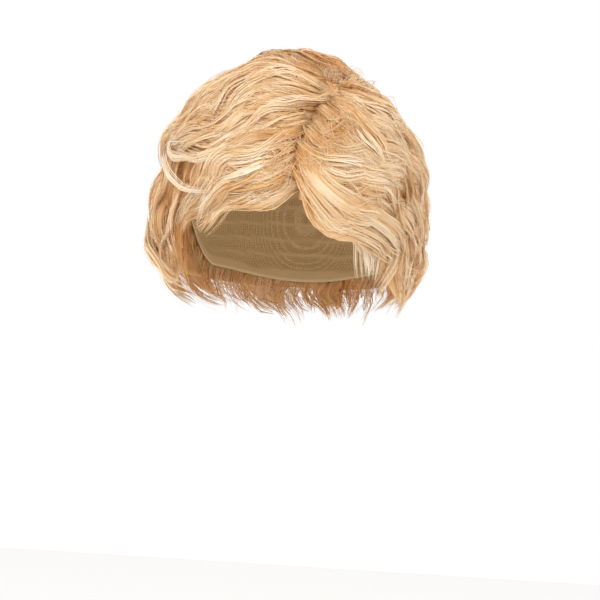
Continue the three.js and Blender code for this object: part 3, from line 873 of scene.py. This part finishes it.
WISPS_FRINGE_RIGHT = [
    (0.26, 0.04, [(28, 34, 0.62), (14, 42, 0.7), (2, 44, 0.86), (-9, 45, 0.93), (-18, 49, 0.94),
                  (-25, 54, 0.95), (-34, 58, 0.97), (-49, 59, 1.02)]),
    (0.3, -0.02, [(18, 42, 0.58), (7, 45, 0.72), (-2, 49, 0.83), (-9, 53, 0.9), (-16, 57, 0.91),
                  (-23, 60, 0.92), (-31, 61, 0.94), (-45, 61, 1.0)]),
    (0.3, 0.14, [(15, 47, 0.58), (6, 51, 0.73), (-2, 54, 0.85), (-9, 58, 0.89), (-16, 61, 0.9),
                 (-23, 63, 0.91), (-32, 63, 0.94), (-46, 61, 1.02)]),
    (0.26, 0.06, [(12, 51, 0.56), (4, 56, 0.68), (-2, 61, 0.8), (-9, 64, 0.88), (-16, 65, 0.9),
                  (-23, 66, 0.9), (-32, 65, 0.92), (-46, 63, 1.0)]),
    (0.22, 0.2, [(10, 57, 0.6), (4, 61, 0.7), (-4, 64, 0.82), (-10, 66, 0.88), (-16, 67, 0.9),
                 (-24, 67, 0.91), (-34, 67, 0.92), (-47, 64, 1.0)]),
    (0.26, 0.1, [(9, 61, 0.6), (3, 65, 0.68), (-3, 67, 0.77), (-9, 68, 0.82), (-15, 69, 0.83),
                 (-21, 73, 0.8), (-24, 78, 0.76), (-26, 85, 0.66)]),
    (0.3, 0.2, [(9, 63, 0.58), (3, 67, 0.65), (-3, 69, 0.74), (-10, 71, 0.78), (-16, 73, 0.8),
                (-21, 78, 0.78), (-25, 84, 0.68), (-31, 91, 0.46)]),
    (0.26, 0.0, [(9, 66, 0.56), (4, 70, 0.61), (-2, 71, 0.7), (-7, 73, 0.74), (-12, 75, 0.74),
                 (-17, 78, 0.72), (-21, 82, 0.65), (-27, 88, 0.5)]),
    (0.26, -0.1, [(9, 69, 0.54), (5, 72, 0.55), (0, 74, 0.61), (-5, 75, 0.64), (-11, 77, 0.64),
                  (-16, 81, 0.6), (-20, 84, 0.55), (-25, 88, 0.45)]),
    (0.22, -0.02, [(10, 72, 0.54), (6, 74, 0.52), (1, 76, 0.54), (-4, 78, 0.56), (-9, 80, 0.56),
                   (-14, 82, 0.55), (-19, 85, 0.5), (-24, 88, 0.44)]),
    (0.15, 0.08, [(10, 74, 0.5), (6, 76, 0.49), (2, 78, 0.48), (-3, 80, 0.49), (-8, 81, 0.5),
                  (-13, 84, 0.49), (-18, 86, 0.46)]),
    # These four wisps lie in the hollow behind the loop, with painted shade in their tone
    (0.3, -0.1, [(-28, 62, 0.75), (-31, 68, 0.64), (-33, 74, 0.56), (-34, 82, 0.44)]),
    (0.34, -0.12, [(-36, 60, 0.75), (-38, 66, 0.62), (-40, 72, 0.54), (-40, 82, 0.42)]),
    (0.34, -0.14, [(-44, 58, 0.78), (-46, 65, 0.64), (-47, 72, 0.56), (-46, 82, 0.44)]),
    (0.34, -0.12, [(-52, 58, 0.8), (-53, 65, 0.68), (-54, 73, 0.6), (-53, 84, 0.46)]),
]
# The loop's wisps get a painted highlight in their tone
LOOP = [
    (0.17, 0.24, [(-34, 61, 0.93), (-46, 59, 0.93), (-57, 58, 0.92), (-63.5, 60.5, 0.9),
                  (-60, 64, 0.9), (-50, 68.5, 0.92), (-40, 74, 0.93), (-31, 78, 0.93),
                  (-20, 79, 0.88)]),
    (0.13, 0.1, [(-36, 60, 0.9), (-48, 58.5, 0.9), (-59, 58.5, 0.89), (-64, 61, 0.88),
                 (-61, 65, 0.88), (-51, 69.4, 0.9), (-41, 74.8, 0.91), (-31.5, 78.8, 0.91),
                 (-20.5, 80, 0.86)]),
    (0.2, 0.14, [(-48, 56, 0.78), (-53, 59, 0.9), (-50, 63, 0.95), (-43, 66, 0.97), (-34, 67.5, 0.96),
                 (-25, 69, 0.94)]),
]
WISPS_SIDE_RIGHT = [
    (0.26, 0.05, [(-60, 70, 0.82), (-71, 79, 0.86), (-78, 88, 1.0), (-80, 97, 1.06), (-75, 106, 0.95),
                  (-68, 114, 0.72), (-60, 120, 0.45)]),
    (0.28, -0.04, [(-52, 74, 0.85), (-60, 83, 0.86), (-66, 90, 0.92), (-70, 98, 0.92),
                   (-70, 106, 0.82), (-64, 114, 0.6), (-57, 120, 0.36)]),
    (0.2, 0.1, [(-37, 77, 0.8), (-40, 83, 0.78), (-46, 92, 0.76), (-56, 100, 0.76), (-60, 108, 0.72),
                (-54, 114, 0.62), (-47, 117, 0.48)]),
    (0.3, 0.16, [(-80, 90, 1.06), (-76, 98, 1.08), (-68, 106, 1.0), (-58, 112, 0.84),
                 (-50, 116, 0.64), (-43, 118, 0.46)]),
    (0.26, 0.1, [(-82, 98, 1.04), (-77, 106, 1.03), (-67, 112, 0.9), (-58, 117, 0.7),
                 (-49, 120, 0.52), (-42, 121, 0.4)]),
    # The next four wisps lie deep under the side, with painted shade in their tone
    (0.3, -0.28, [(-40, 82, 0.46), (-44, 90, 0.47), (-48, 98, 0.45), (-50, 106, 0.42),
                  (-47, 114, 0.38)]),
    (0.3, -0.3, [(-37, 83, 0.44), (-41, 91, 0.44), (-45, 99, 0.42), (-46, 107, 0.4), (-44, 113, 0.38)]),
    (0.28, -0.2, [(-37, 78, 0.68), (-43, 84, 0.54), (-48, 90, 0.5), (-52, 97, 0.5), (-57, 104, 0.5),
                  (-58, 110, 0.48), (-55, 116, 0.38)]),
    (0.28, -0.24, [(-35, 79, 0.6), (-41, 85, 0.46), (-45, 91, 0.42), (-49, 98, 0.42),
                   (-52, 104, 0.42), (-54, 110, 0.4), (-52, 117, 0.32)]),
    (0.15, 0.1, [(-48, 84, 0.62), (-48, 92, 0.52), (-49, 98, 0.46), (-50, 104, 0.42),
                 (-51, 109, 0.38), (-52, 114, 0.32)]),
]
WISPS_FRINGE_LEFT = [
    (0.34, 0.16, [(7, 58, 0.6), (12, 63, 0.77), (19, 66, 0.88), (27, 67, 0.94), (37, 65, 0.94),
                  (48, 66, 0.95)]),
    (0.3, 0.06, [(10, 63, 0.62), (15, 68, 0.79), (21, 71, 0.88), (29, 72, 0.93), (40, 71, 0.93),
                 (52, 73, 0.95)]),
    (0.26, -0.14, [(14, 66, 0.66), (18, 72, 0.78), (25, 76, 0.86), (32, 79, 0.89), (39, 81, 0.89),
                   (49, 83, 0.9)]),
    (0.26, -0.02, [(12, 52, 0.58), (17, 58, 0.75), (24, 61, 0.87), (33, 61, 0.95), (42, 59, 0.96)]),
    (0.3, 0.1, [(33, 39, 0.6), (36, 44, 0.74), (38, 50, 0.88), (41, 55, 0.93), (43, 61, 0.96),
                (45, 66, 0.97), (48, 71, 0.96), (50, 78, 0.95)]),
    (0.34, 0.18, [(30, 45, 0.7), (33, 50, 0.82), (35, 55, 0.9), (37, 60, 0.95), (39, 65, 0.97),
                  (42, 70, 0.96), (44, 76, 0.96), (45, 83, 0.92)]),
    (0.26, 0.02, [(27, 48, 0.68), (29, 53, 0.78), (31, 59, 0.88), (34, 63, 0.92), (39, 67, 0.93),
                  (43, 72, 0.94), (45, 79, 0.93), (46, 87, 0.88)]),
    (0.24, 0.0, [(18, 53, 0.58), (21, 58, 0.7), (25, 61, 0.82), (30, 63, 0.88), (36, 64, 0.92),
                 (44, 65, 0.97)]),
    (0.26, 0.2, [(14, 55, 0.58), (17, 61, 0.72), (21, 65, 0.85), (26, 67, 0.9), (32, 69, 0.93),
                 (38, 71, 0.94), (43, 76, 0.95), (46, 82, 0.92)]),
    (0.24, 0.06, [(11, 56, 0.55), (15, 63, 0.68), (19, 68, 0.78), (24, 71, 0.84), (30, 74, 0.88),
                  (37, 77, 0.9), (43, 82, 0.9), (47, 89, 0.85)]),
    (0.24, -0.14, [(10, 59, 0.56), (14, 67, 0.7), (18, 72, 0.82), (24, 76, 0.87), (30, 79, 0.87),
                   (38, 82, 0.87), (46, 87, 0.84), (53, 94, 0.74)]),
    (0.15, 0.04, [(9, 70, 0.56), (11, 76, 0.66), (14, 81, 0.71), (18, 86, 0.72), (23, 91, 0.7),
                  (29, 95, 0.67), (36, 98, 0.6), (43, 102, 0.48)]),
]
WISPS_TEMPLE = [
    (0.42, 0.1, [(10, 60, 0.56), (14, 69, 0.76), (19, 75, 0.86), (27, 80, 0.9), (36, 84, 0.9),
                 (46, 88, 0.86), (55, 94, 0.78), (60, 101, 0.68), (59, 108, 0.58), (54, 115, 0.5),
                 (47, 120, 0.46)]),
    (0.42, 0.14, [(9, 62, 0.56), (13, 71, 0.75), (18, 77, 0.84), (25, 82, 0.88), (33, 86, 0.88),
                  (42, 90, 0.84), (51, 95, 0.75), (56, 102, 0.65), (55, 109, 0.56), (49, 116, 0.5)]),
    (0.36, 0.02, [(9, 65, 0.56), (12, 73, 0.72), (17, 80, 0.8), (23, 86, 0.81), (31, 90, 0.8),
                  (40, 94, 0.76), (48, 99, 0.66), (52, 105, 0.57), (50, 111, 0.5), (45, 117, 0.45)]),
    (0.36, 0.14, [(9, 67, 0.56), (11, 75, 0.7), (15, 81, 0.77), (20, 87, 0.79), (27, 91, 0.78),
                  (36, 95, 0.74), (44, 99, 0.65), (48, 105, 0.54), (46, 111, 0.46)]),
]
# Painted light in the tones of the sideburn's wisps
WISPS_SIDEBURN = [
    (0.26, 0.32, [(33, 90, 0.46), (35, 97, 0.37), (36.5, 104, 0.34), (38, 109, 0.33), (41, 115, 0.31)]),
    (0.28, 0.36, [(36, 90, 0.48), (38, 97, 0.39), (40, 104, 0.36), (42, 109, 0.36), (44, 115, 0.34)]),
    (0.28, 0.36, [(39, 90, 0.5), (41, 97, 0.41), (43, 104, 0.38), (45, 109, 0.37), (46, 115, 0.37)]),
    (0.28, 0.32, [(43, 91, 0.52), (45, 98, 0.43), (46.5, 104, 0.39), (47, 109, 0.38), (47, 115, 0.38)]),
    (0.12, 0.16, [(46, 94, 0.52), (48, 101, 0.43), (49, 107, 0.4), (49, 113, 0.38)]),
]
WISPS_SIDE_LEFT = [
    (0.34, -0.34, [(56, 62, 0.88), (54, 71, 0.88), (55, 80, 0.86), (60, 88, 0.84), (67, 94, 0.82),
                   (74, 100, 0.8), (73, 107, 0.78)]),
    (0.28, -0.2, [(55, 60, 0.95), (58, 67, 0.94), (60, 75, 0.9), (61, 83, 0.84), (63, 91, 0.8),
                  (68, 99, 0.76), (73, 107, 0.72)]),
    (0.3, 0.08, [(66, 56, 0.95), (71, 63, 0.95), (74, 72, 0.96), (76, 81, 0.92), (79, 90, 0.86),
                 (82, 99, 0.84), (82, 108, 0.78)]),
    (0.28, 0.0, [(76, 54, 0.98), (80, 62, 1.0), (84, 72, 0.93), (86, 82, 0.85), (89, 92, 0.8),
                 (92, 101, 0.76), (92, 109, 0.7)]),
    (0.28, 0.0, [(48, 78, 0.92), (52, 85, 0.86), (57, 91, 0.8), (62, 98, 0.76), (66, 105, 0.72),
                 (70, 113, 0.66), (72, 121, 0.62)]),
    (0.28, -0.12, [(46, 83, 0.86), (50, 90, 0.82), (55, 97, 0.76), (60, 105, 0.68), (65, 113, 0.62),
                   (69, 121, 0.6), (70, 132, 0.56)]),
    (0.24, 0.08, [(60, 88, 0.84), (66, 95, 0.82), (71, 103, 0.78), (75, 110, 0.72), (78, 118, 0.66),
                  (80, 127, 0.58)]),
]

# %% [markdown]
# ## Filling the places between locks
# A comb pulls some hair across from one lock to the next. Wisps on guides part of the way
# between two neighbours do the same here, a little deeper than the locks and in painted
# shade, and close the gaps.
# On top, short thin wisps leave their lock and wander over the next ones, as hair does that
# fingers have ruffled, most of all at the parting. Under the edge of the cap, shorter hair
# hangs from the last wefts and lines the inside.

# %% Comb the sections
WISP_DENSITY = 0.36  # wisps for each mm of lock width
WISP_FIBRES = 9
VEILS = 2  # guides between two locks
VEIL_WISPS = 3
VEIL_FIBRES = 8
VEIL_SINK = 1.4
# painted shade on the veils, which lie deeper between the locks
PAINTED_VEIL_SHADE = -0.14
TOP_RAISE = 0.4  # how far the single wisps lie above the locks
TOP_FIBRES = 8
TOP_WAVE = 0.6  # of the locks' wave
NEAT_FIBRES = 11
NEAT_WAVE = 0.1  # of it, for the neat ones
STILL_WILDNESS = 0.25  # of a single wisp with no wave
WAVE_WILDNESS = 0.8  # more with the full one
TOP_SPACING = 3.2  # mm of width for each part of a single wisp
LOOSE_FIBRES = 4
LOOSE_FINE = 0.75  # of the width of the other fibres
LOOSE_SHADE = 0.12
LOOSE_WILDNESS = 0.8
LOOSE_MARGIN = 0.2  # locks past the first and the last one, where loose wisps may start
LOOSE_END = 1.02  # share of the lock's length where they end at the latest
LOOSE_BEND = 0.5  # how much their way bends and sways, where 1 is its slant over the locks
LOOSE_SWAY = 0.3
LOOSE_RISE = 1.4  # times the usual rise at their tips, at most
LOOSE_WAVES = 1.3  # light and dark waves along one
LOOSE_HALF_WIDTHS = (1.5, 6.0)
LOOSE_THICKNESS = 3.0
BACK_TOP_WISPS = 2  # on each lock of the back
BACK_TOP_WIDTH = 0.3
BACK_TOP_SPREAD = 9  # degrees to either side of the lock
SHAKE_BEND = 0.3  # of that spread, that they bend on their way
SHAKE_WAVES = 1.3  # half waves along each
SHAKE_WIDTH = 0.3  # how far their widths and tones are from the usual ones
SHAKE_TONE = 0.1
LINING_SPREAD = 0.35  # how far its locks' lengths are from the usual one, as a share
LINING_WIDTH = 0.8
LINING_TONE = -0.09
LINING_TONE_SPREAD = 0.08
LINING_WISPS = 6
LINING_FIBRES = 5
# Loose wisps: tone, lengths in mm, locks crossed, mm above the locks at the start and more at
# the tip, and the shares of the lock's length between which they start
RUFFLED = {
    "tone": 0.0,
    "spans": (24, 62),
    "cross": 0.8,
    "raised": (-0.7, 0.8),
    "tip": 0.9,
    "window": (0.02, 0.74),
}
AT_THE_PARTING = {
    "tone": 0.02,
    "spans": (20, 46),
    "cross": 1.3,
    "raised": (-0.7, 0.8),
    "tip": 1.5,
    "window": (0.0, 0.2),
}


def comb_locks(lines):
    """The fibres of neighbouring locks."""
    combed = []
    for line, tone in lines:
        wisps = round(2 * line["half_width"].max() * WISP_DENSITY)
        combed.append(comb(line, wisps, WISP_FIBRES, tone=tone))
    return combed


def comb_veils(lines):
    """The fibres between neighbouring locks."""
    combed = []
    for (first, tone), (second, next_tone) in zip(lines, lines[1:]):
        for i in range(VEILS):
            mix = (i + 0.5) / VEILS
            # The veils' tone gets painted shade
            shade = tone * (1 - mix) + next_tone * mix + PAINTED_VEIL_SHADE
            line = between(first, second, mix)
            combed.append(comb(line, VEIL_WISPS, VEIL_FIBRES, sink=VEIL_SINK, tone=shade))
    return combed


def comb_wisps(rows, wave, fibres):
    """The fibres of single wisps on top."""
    combed = []
    wild = STILL_WILDNESS + WAVE_WILDNESS * wave
    for line, tone in laid(rows, wave):
        parts = max(1, round(2 * line["half_width"].max() / TOP_SPACING))
        combed.append(comb(line, parts, fibres, TOP_DEPTH, sink=-TOP_RAISE, tone=tone, wild=wild))
    return combed


def shaken(rows, wisps, width, spread):
    """Single wisps that run beside the locks' ways, each a little its own way."""
    made = []
    for _, tone, way in rows:
        turns, drops, lifts = np.array(way, float).T
        for _ in range(wisps):
            own = generator.normal(0, 1, 4)
            ramp = np.linspace(0, 1, len(turns))
            bend = np.sin(np.pi * SHAKE_WAVES * ramp + own[1])
            shift = spread * generator.uniform(-1, 1) + SHAKE_BEND * spread * own[0] * bend
            own_width, own_tone = width * (1 + SHAKE_WIDTH * own[2]), tone + SHAKE_TONE * own[3]
            made.append((own_width, own_tone, list(zip(turns + shift, drops, lifts))))
    return made


def tousled(laid_lines, count, tone, spans, cross, raised, tip, window):
    """Short wisps that leave one lock, wander over its neighbours and end in the open."""
    lines = [line for line, _ in laid_lines]
    faces, outs = (np.stack([line[key] for line in lines]) for key in ("face", "out"))
    step = np.linspace(0, 1, STATIONS)
    combed = []
    for _ in range(count):
        own = generator.normal(0, 1, 4)
        first = generator.uniform(-LOOSE_MARGIN, len(lines) - 1 + LOOSE_MARGIN)
        nearest = lines[int(np.clip(round(first), 0, len(lines) - 1))]
        start = generator.uniform(*window)
        span = generator.uniform(*spans) / nearest["length"]
        reach = min(span, LOOSE_END - start)
        share = start + step * reach
        beside, place = int(np.clip(first, 0, len(lines) - 2)), int(start * STATIONS)
        gap = np.linalg.norm(faces[beside, place] - faces[beside + 1, place])
        drift = own[0] * step + LOOSE_BEND * own[1] * step**2
        drift = drift + LOOSE_SWAY * own[2] * np.sin(2 * np.pi * step)
        lock = first + cross * min(1, LOCK_WIDTH / gap) * drift * reach / span
        lock = np.clip(lock, 0, len(lines) - 1)
        low = np.clip(lock.astype(int), 0, len(lines) - 2)
        rest = (lock - low)[:, None]
        place = share * (STATIONS - 1)
        here = np.clip(place.astype(int), 0, STATIONS - 2)
        past = (place - here)[:, None]
        face, out = (
            (values[low, here] * (1 - past) + values[low, here + 1] * past) * (1 - rest)
            + (values[low + 1, here] * (1 - past) + values[low + 1, here + 1] * past) * rest
            for values in (faces, outs)
        )
        out = unit(out)
        rise = generator.uniform(*raised) + tip * min(abs(own[3]), LOOSE_RISE) * step**2
        face = face + out * rise[:, None]
        along = unit(np.gradient(face, axis=0))
        across = unit(np.cross(out, along))
        line = {
            "face": face,
            "across": across,
            "out": np.cross(along, across),
            "crest": np.sin(2 * np.pi * (LOOSE_WAVES * step + own[0])),
            "length": float(np.linalg.norm(np.diff(face, axis=0), axis=1).sum()),
            "half_width": generator.uniform(*LOOSE_HALF_WIDTHS) * fullness(step),
            "thickness": LOOSE_THICKNESS * fullness(step),
        }
        shade = tone + LOOSE_SHADE * own[1]
        combed.append(
            comb(line, 1, LOOSE_FIBRES, TOP_DEPTH, tone=shade, wild=LOOSE_WILDNESS, fine=LOOSE_FINE)
        )
    return combed


# How far down the cap reaches round the head: turn, drop
CAP_EDGE = [
    (0, 68), (42, 74), (68, 98), (96, 88), (132, 114), (180, 118),
    (228, 114), (264, 88), (292, 98), (318, 74), (360, 68),
]


def cap_edge(turn):
    """The drop of the cap's edge at each turn."""
    turns, drops = np.array(CAP_EDGE, float).T
    after = np.clip(np.searchsorted(turns, turn, side="right"), 1, len(turns) - 1)
    share = (turn - turns[after - 1]) / (turns[after] - turns[after - 1])
    return drops[after - 1] + (drops[after] - drops[after - 1]) * (0.5 - 0.5 * np.cos(np.pi * share))


def lining_rows(turns, top, length):
    """Short locks inside, from above the cap's edge down, each with its own length and bend."""
    rows = []
    for turn in turns:
        edge = float(cap_edge(turn % 360))
        own = generator.uniform(-1, 1, 4)
        reach = length * (1 + LINING_SPREAD * own[0])
        way = [
            (turn, edge - top, 0.07),
            (turn + 2 + 3 * own[1], edge + 0.35 * reach, 0.1),
            (turn - 1 + 5 * own[1], edge + 0.7 * reach, 0.16),
            (turn + 6 * own[2], edge + reach, 0.3),
        ]
        rows.append((LINING_WIDTH, LINING_TONE + LINING_TONE_SPREAD * own[3], way))
    return rows


def section(node, locks, bed_turns, bed_drops, wisps=(), neat=(), lone=(), loose=0, messy=0, lining=()):
    """A section's body and fibres, which together stand for its solid."""
    sheets = [laid(table) for table in locks]
    singles = [laid(table) for table in lone]
    cores = [core(line, tone) for lines in (*sheets, *singles) for line, tone in lines]
    made = [body_mesh(f"{node}_body", [bed(bed_turns, bed_drops), *cores])]
    combed = [lock for lines in (*sheets, *singles) for lock in comb_locks(lines)]
    made.append(fibre_mesh(f"{node}_locks", combed))
    veils = [veil for lines in sheets for veil in comb_veils(lines)]
    tops = [top for table in wisps for top in comb_wisps(table, TOP_WAVE, TOP_FIBRES)]
    tops += [top for table in neat for top in comb_wisps(table, NEAT_WAVE, NEAT_FIBRES)]
    over = [wisp for lines in sheets for wisp in tousled(lines, loose, **RUFFLED)]
    over += tousled(sheets[0], messy, **AT_THE_PARTING)
    inside = [comb(line, LINING_WISPS, LINING_FIBRES, tone=tone) for line, tone in laid(lining)]
    made.append(fibre_mesh(f"{node}_wisps", veils + tops + over + inside))
    for piece in made:
        piece.data.materials.append(fibre)
        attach(piece, "root")
        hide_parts(node)
    return made


section(
    "fringe_left",
    [FRINGE_LEFT],
    wisps=[WISPS_FRINGE_LEFT],
    neat=[WISPS_TEMPLE, WISPS_SIDEBURN],
    lone=[SIDEBURN],
    loose=100,
    messy=85,
    bed_turns=(10, 58),
    bed_drops=(44, 80),
)
section(
    "fringe_right",
    [FRINGE_RIGHT, UPPER_RIGHT],
    wisps=[WISPS_FRINGE_RIGHT],
    neat=[LOOP],
    loose=62,
    messy=70,
    bed_turns=(-56, 10),
    bed_drops=(44, 76),
)
section(
    "hair_crown",
    [CROWN],
    wisps=[WISPS_CROWN, WISPS_TUFT],
    lone=[COWLICK],
    loose=200,
    messy=85,
    bed_turns=(0, 360),
    bed_drops=(0, 48),
)
section(
    "hair_side_left",
    [SIDE_LEFT],
    wisps=[WISPS_SIDE_LEFT],
    loose=95,
    lining=lining_rows(range(62, 96, 8), 4, 24),
    bed_turns=(54, 98),
    bed_drops=(44, 104),
)
section(
    "hair_side_right",
    [SIDE_RIGHT],
    wisps=[WISPS_SIDE_RIGHT],
    loose=110,
    lining=lining_rows(range(-94, -58, 8), 4, 24),
    bed_turns=(-98, -52),
    bed_drops=(44, 104),
)
tiers = [back_tier(*tier) for tier in BACK_TIERS]
section(
    "hair_back",
    tiers,
    wisps=[shaken(tier, BACK_TOP_WISPS, BACK_TOP_WIDTH, BACK_TOP_SPREAD) for tier in tiers],
    loose=28,
    lining=lining_rows(range(100, 264, 7), 4, 16),
    bed_turns=(94, 266),
    bed_drops=(44, 120),
)
print("triangles in all:", sum(TRIANGLES.values()))

# %% [markdown]
# ## The cap
# The cap is an elastic net with a soft band at its edge, and rows of weft tape are sewn round
# it to carry the hair. Worn, none of it shows. Off the head, its inside shows through the
# opening for the face, so it is made as a fine shell whose rows of tape are real ridges.

# %% Cap shell
CAP_WALL = 1.2
CAP_COLUMNS = 96
CAP_ROWS = 80
WEFT_SPACING = 11.0
WEFT_HALF = 1.6
WEFT_RIDGE = 0.55
EDGE_BAND = 7.0
CAP_MARGIN = 0.15  # mm that the shell lies inside both faces of the solid
CAP_START = 0.004  # share of the way from the crown to the edge where its rows begin
INNER_RIDGE = 0.5  # of the ridge that shows inside
RIDGE_FLANK = 2  # how steep a ridge's flanks are


def cap_shell():
    """The net cap as one closed wall."""
    turn = 360 * np.arange(CAP_COLUMNS) / CAP_COLUMNS
    edge = cap_edge(turn)
    share = np.linspace(CAP_START, 1, CAP_ROWS)
    drop = edge[:, None] * share[None]
    run = np.radians(drop) * HEAD_AXES.mean()
    weft = np.clip(1 - np.abs((run % WEFT_SPACING) - WEFT_SPACING / 2) / WEFT_HALF, 0, 1)
    band = np.clip(1 - (run[:, -1:] - run) / EDGE_BAND, 0, 1)
    ridge = np.minimum(1, RIDGE_FLANK * weft) * WEFT_RIDGE * (band == 0) + (band > 0) * WEFT_RIDGE
    inner = on_head(turn[:, None], drop[:, ::-1], CAP_MARGIN)
    inner = inner - outward(inner) * (ridge[:, ::-1] * INNER_RIDGE)[..., None]
    outer = on_head(turn[:, None], drop, CAP_WALL - CAP_MARGIN)
    rings = np.concatenate([inner, outer], axis=1)
    tape = np.concatenate([ridge[:, ::-1], ridge], axis=1) / WEFT_RIDGE
    return loft(rings, {"tape": tape}, closed_loop=True)


def elastic_net():
    """Knitted nylon net in beige, with tape where the wefts are sewn."""
    material, tree = new_material("nylon_net_knitted_beige")
    tape = add_node(tree, "ShaderNodeAttribute", {"attribute_name": "tape"})
    place = add_node(tree, "ShaderNodeTexCoord")
    cells = add_node(
        tree,
        "ShaderNodeTexVoronoi",
        {"feature": "DISTANCE_TO_EDGE"},
        {"Scale": 820.0, "Randomness": 0.3},
        {"Vector": place.outputs["Object"]},
    )
    thread = add_node(
        tree,
        "ShaderNodeMapRange",
        values={"From Min": 0.05, "From Max": 0.22, "To Min": 1.0, "To Max": 0.0},
        links={"Value": cells.outputs["Distance"]},
    )
    cover = add_node(
        tree,
        "ShaderNodeMath",
        {"operation": "MAXIMUM"},
        links={0: thread.outputs["Result"], 1: tape.outputs["Fac"]},
    )
    colour = add_node(tree, "ShaderNodeValToRGB", links={"Fac": cover.outputs["Value"]})
    set_stops(colour, [(0.0, "A98556"), (1.0, "CDB083")])
    bump = add_node(
        tree,
        "ShaderNodeBump",
        values={"Strength": 0.5, "Distance": 0.0003},
        links={"Height": cover.outputs["Value"]},
    )
    shader = add_node(
        tree,
        "ShaderNodeBsdfPrincipled",
        values={"Roughness": 0.75, "IOR": 1.53},
        links={"Base Color": colour.outputs["Color"], "Normal": bump.outputs["Normal"]},
    )
    finish_material(tree, shader)
    return material


cap = make_mesh("cap_net", *cap_shell())
cap.data.materials.append(elastic_net())
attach(cap, "root")
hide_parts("cap")
print("cap_net:", len(cap.data.polygons), "faces")

# %% [markdown]
# ## Light, floor and camera
# The light is that of a bright catalogue studio: white all round, a large soft lamp high on
# the left for the shine, and a weaker one on the right. The wig hangs as a head would hold
# it, with a pale floor well below.

# %% Studio
FLOOR_DROP = 0.55  # from the origin down to the floor
FLOOR_SIZE = 2.6
LIT_POINT = Vector((0, 0, -0.08))  # that both lamps look at


def soft_lamp(name, place, size, watts):
    """An area light that looks at the wig."""
    lamp = bpy.data.lights.new(name, "AREA")
    lamp.size = size
    lamp.energy = watts
    holder = bpy.data.objects.new(name, lamp)
    holder.location = place
    aim = LIT_POINT - Vector(place)
    holder.rotation_euler = aim.to_track_quat("-Z", "Y").to_euler()
    bpy.context.scene.collection.objects.link(holder)


def pale_floor():
    """A matt painted floor."""
    mesh = bpy.data.meshes.new("floor")
    half = FLOOR_SIZE / 2
    corners = [(-half, -half, -FLOOR_DROP), (half, -half, -FLOOR_DROP)]
    corners += [(half, half, -FLOOR_DROP), (-half, half, -FLOOR_DROP)]
    mesh.from_pydata(corners, [], [(0, 1, 2, 3)])
    floor = bpy.data.objects.new("floor", mesh)
    bpy.context.scene.collection.objects.link(floor)
    material, tree = new_material("matt_floor_paint")
    finish_material(
        tree,
        add_node(
            tree,
            "ShaderNodeBsdfPrincipled",
            values={"Base Color": linear("F2F1EF"), "Roughness": 0.9},
        ),
    )
    mesh.materials.append(material)


world = bpy.data.worlds.new("white_studio")
bpy.context.scene.world = world
world.use_nodes = True
world.node_tree.nodes["Background"].inputs["Color"].default_value = (1, 1, 1, 1)
world.node_tree.nodes["Background"].inputs["Strength"].default_value = 1.0
pale_floor()
soft_lamp("key_lamp", (-0.9, -1.6, 1.1), 0.7, 16)
soft_lamp("fill_lamp", (1.5, -1.1, 0.5), 0.9, 5)
bpy.context.scene.view_settings.view_transform = "Standard"

# %% [markdown]
# The camera stands two metres off, a little to the wearer's left and level with the eyes, and
# leans slightly. It looks lower than the wig, which sits in the upper part of the picture.

# %% Camera
CAMERA_AZIMUTH = 7.0
CAMERA_ELEVATION = 1.0
CAMERA_ROLL = 2.6
CAMERA_DISTANCE = 2.0
PICTURE_WIDTH = 600
SENSOR = 36.0
FOCAL_PIXELS = 2720.0
AIMED_POINT = Vector((0, 0, -0.09))
AIMED_PIXEL = (291, 208)


def place_camera():
    """A camera whose picture shows the aimed point at the aimed pixel."""
    azimuth, elevation, roll = np.radians([CAMERA_AZIMUTH, CAMERA_ELEVATION, CAMERA_ROLL])
    level = np.cos(elevation)
    back = Vector((np.sin(azimuth) * level, -np.cos(azimuth) * level, np.sin(elevation)))
    right = Vector((np.cos(azimuth), np.sin(azimuth), 0))
    up = back.cross(right)
    rolled_right = right * np.cos(roll) + up * np.sin(roll)
    rolled_up = up * np.cos(roll) - right * np.sin(roll)
    half = PICTURE_WIDTH / 2
    seen = Vector((AIMED_PIXEL[0] - half, half - AIMED_PIXEL[1], -FOCAL_PIXELS)).normalized()
    axes = Matrix((rolled_right, rolled_up, back)).transposed()
    turn = (axes @ seen).rotation_difference(-back)
    data = bpy.data.cameras.new("camera")
    data.sensor_width = SENSOR
    data.lens = FOCAL_PIXELS * SENSOR / PICTURE_WIDTH
    camera = bpy.data.objects.new("camera", data)
    camera.matrix_world = Matrix.Translation(AIMED_POINT + back * CAMERA_DISTANCE) @ (
        turn.to_matrix() @ axes
    ).to_4x4()
    bpy.context.scene.collection.objects.link(camera)
    bpy.context.scene.camera = camera


place_camera()
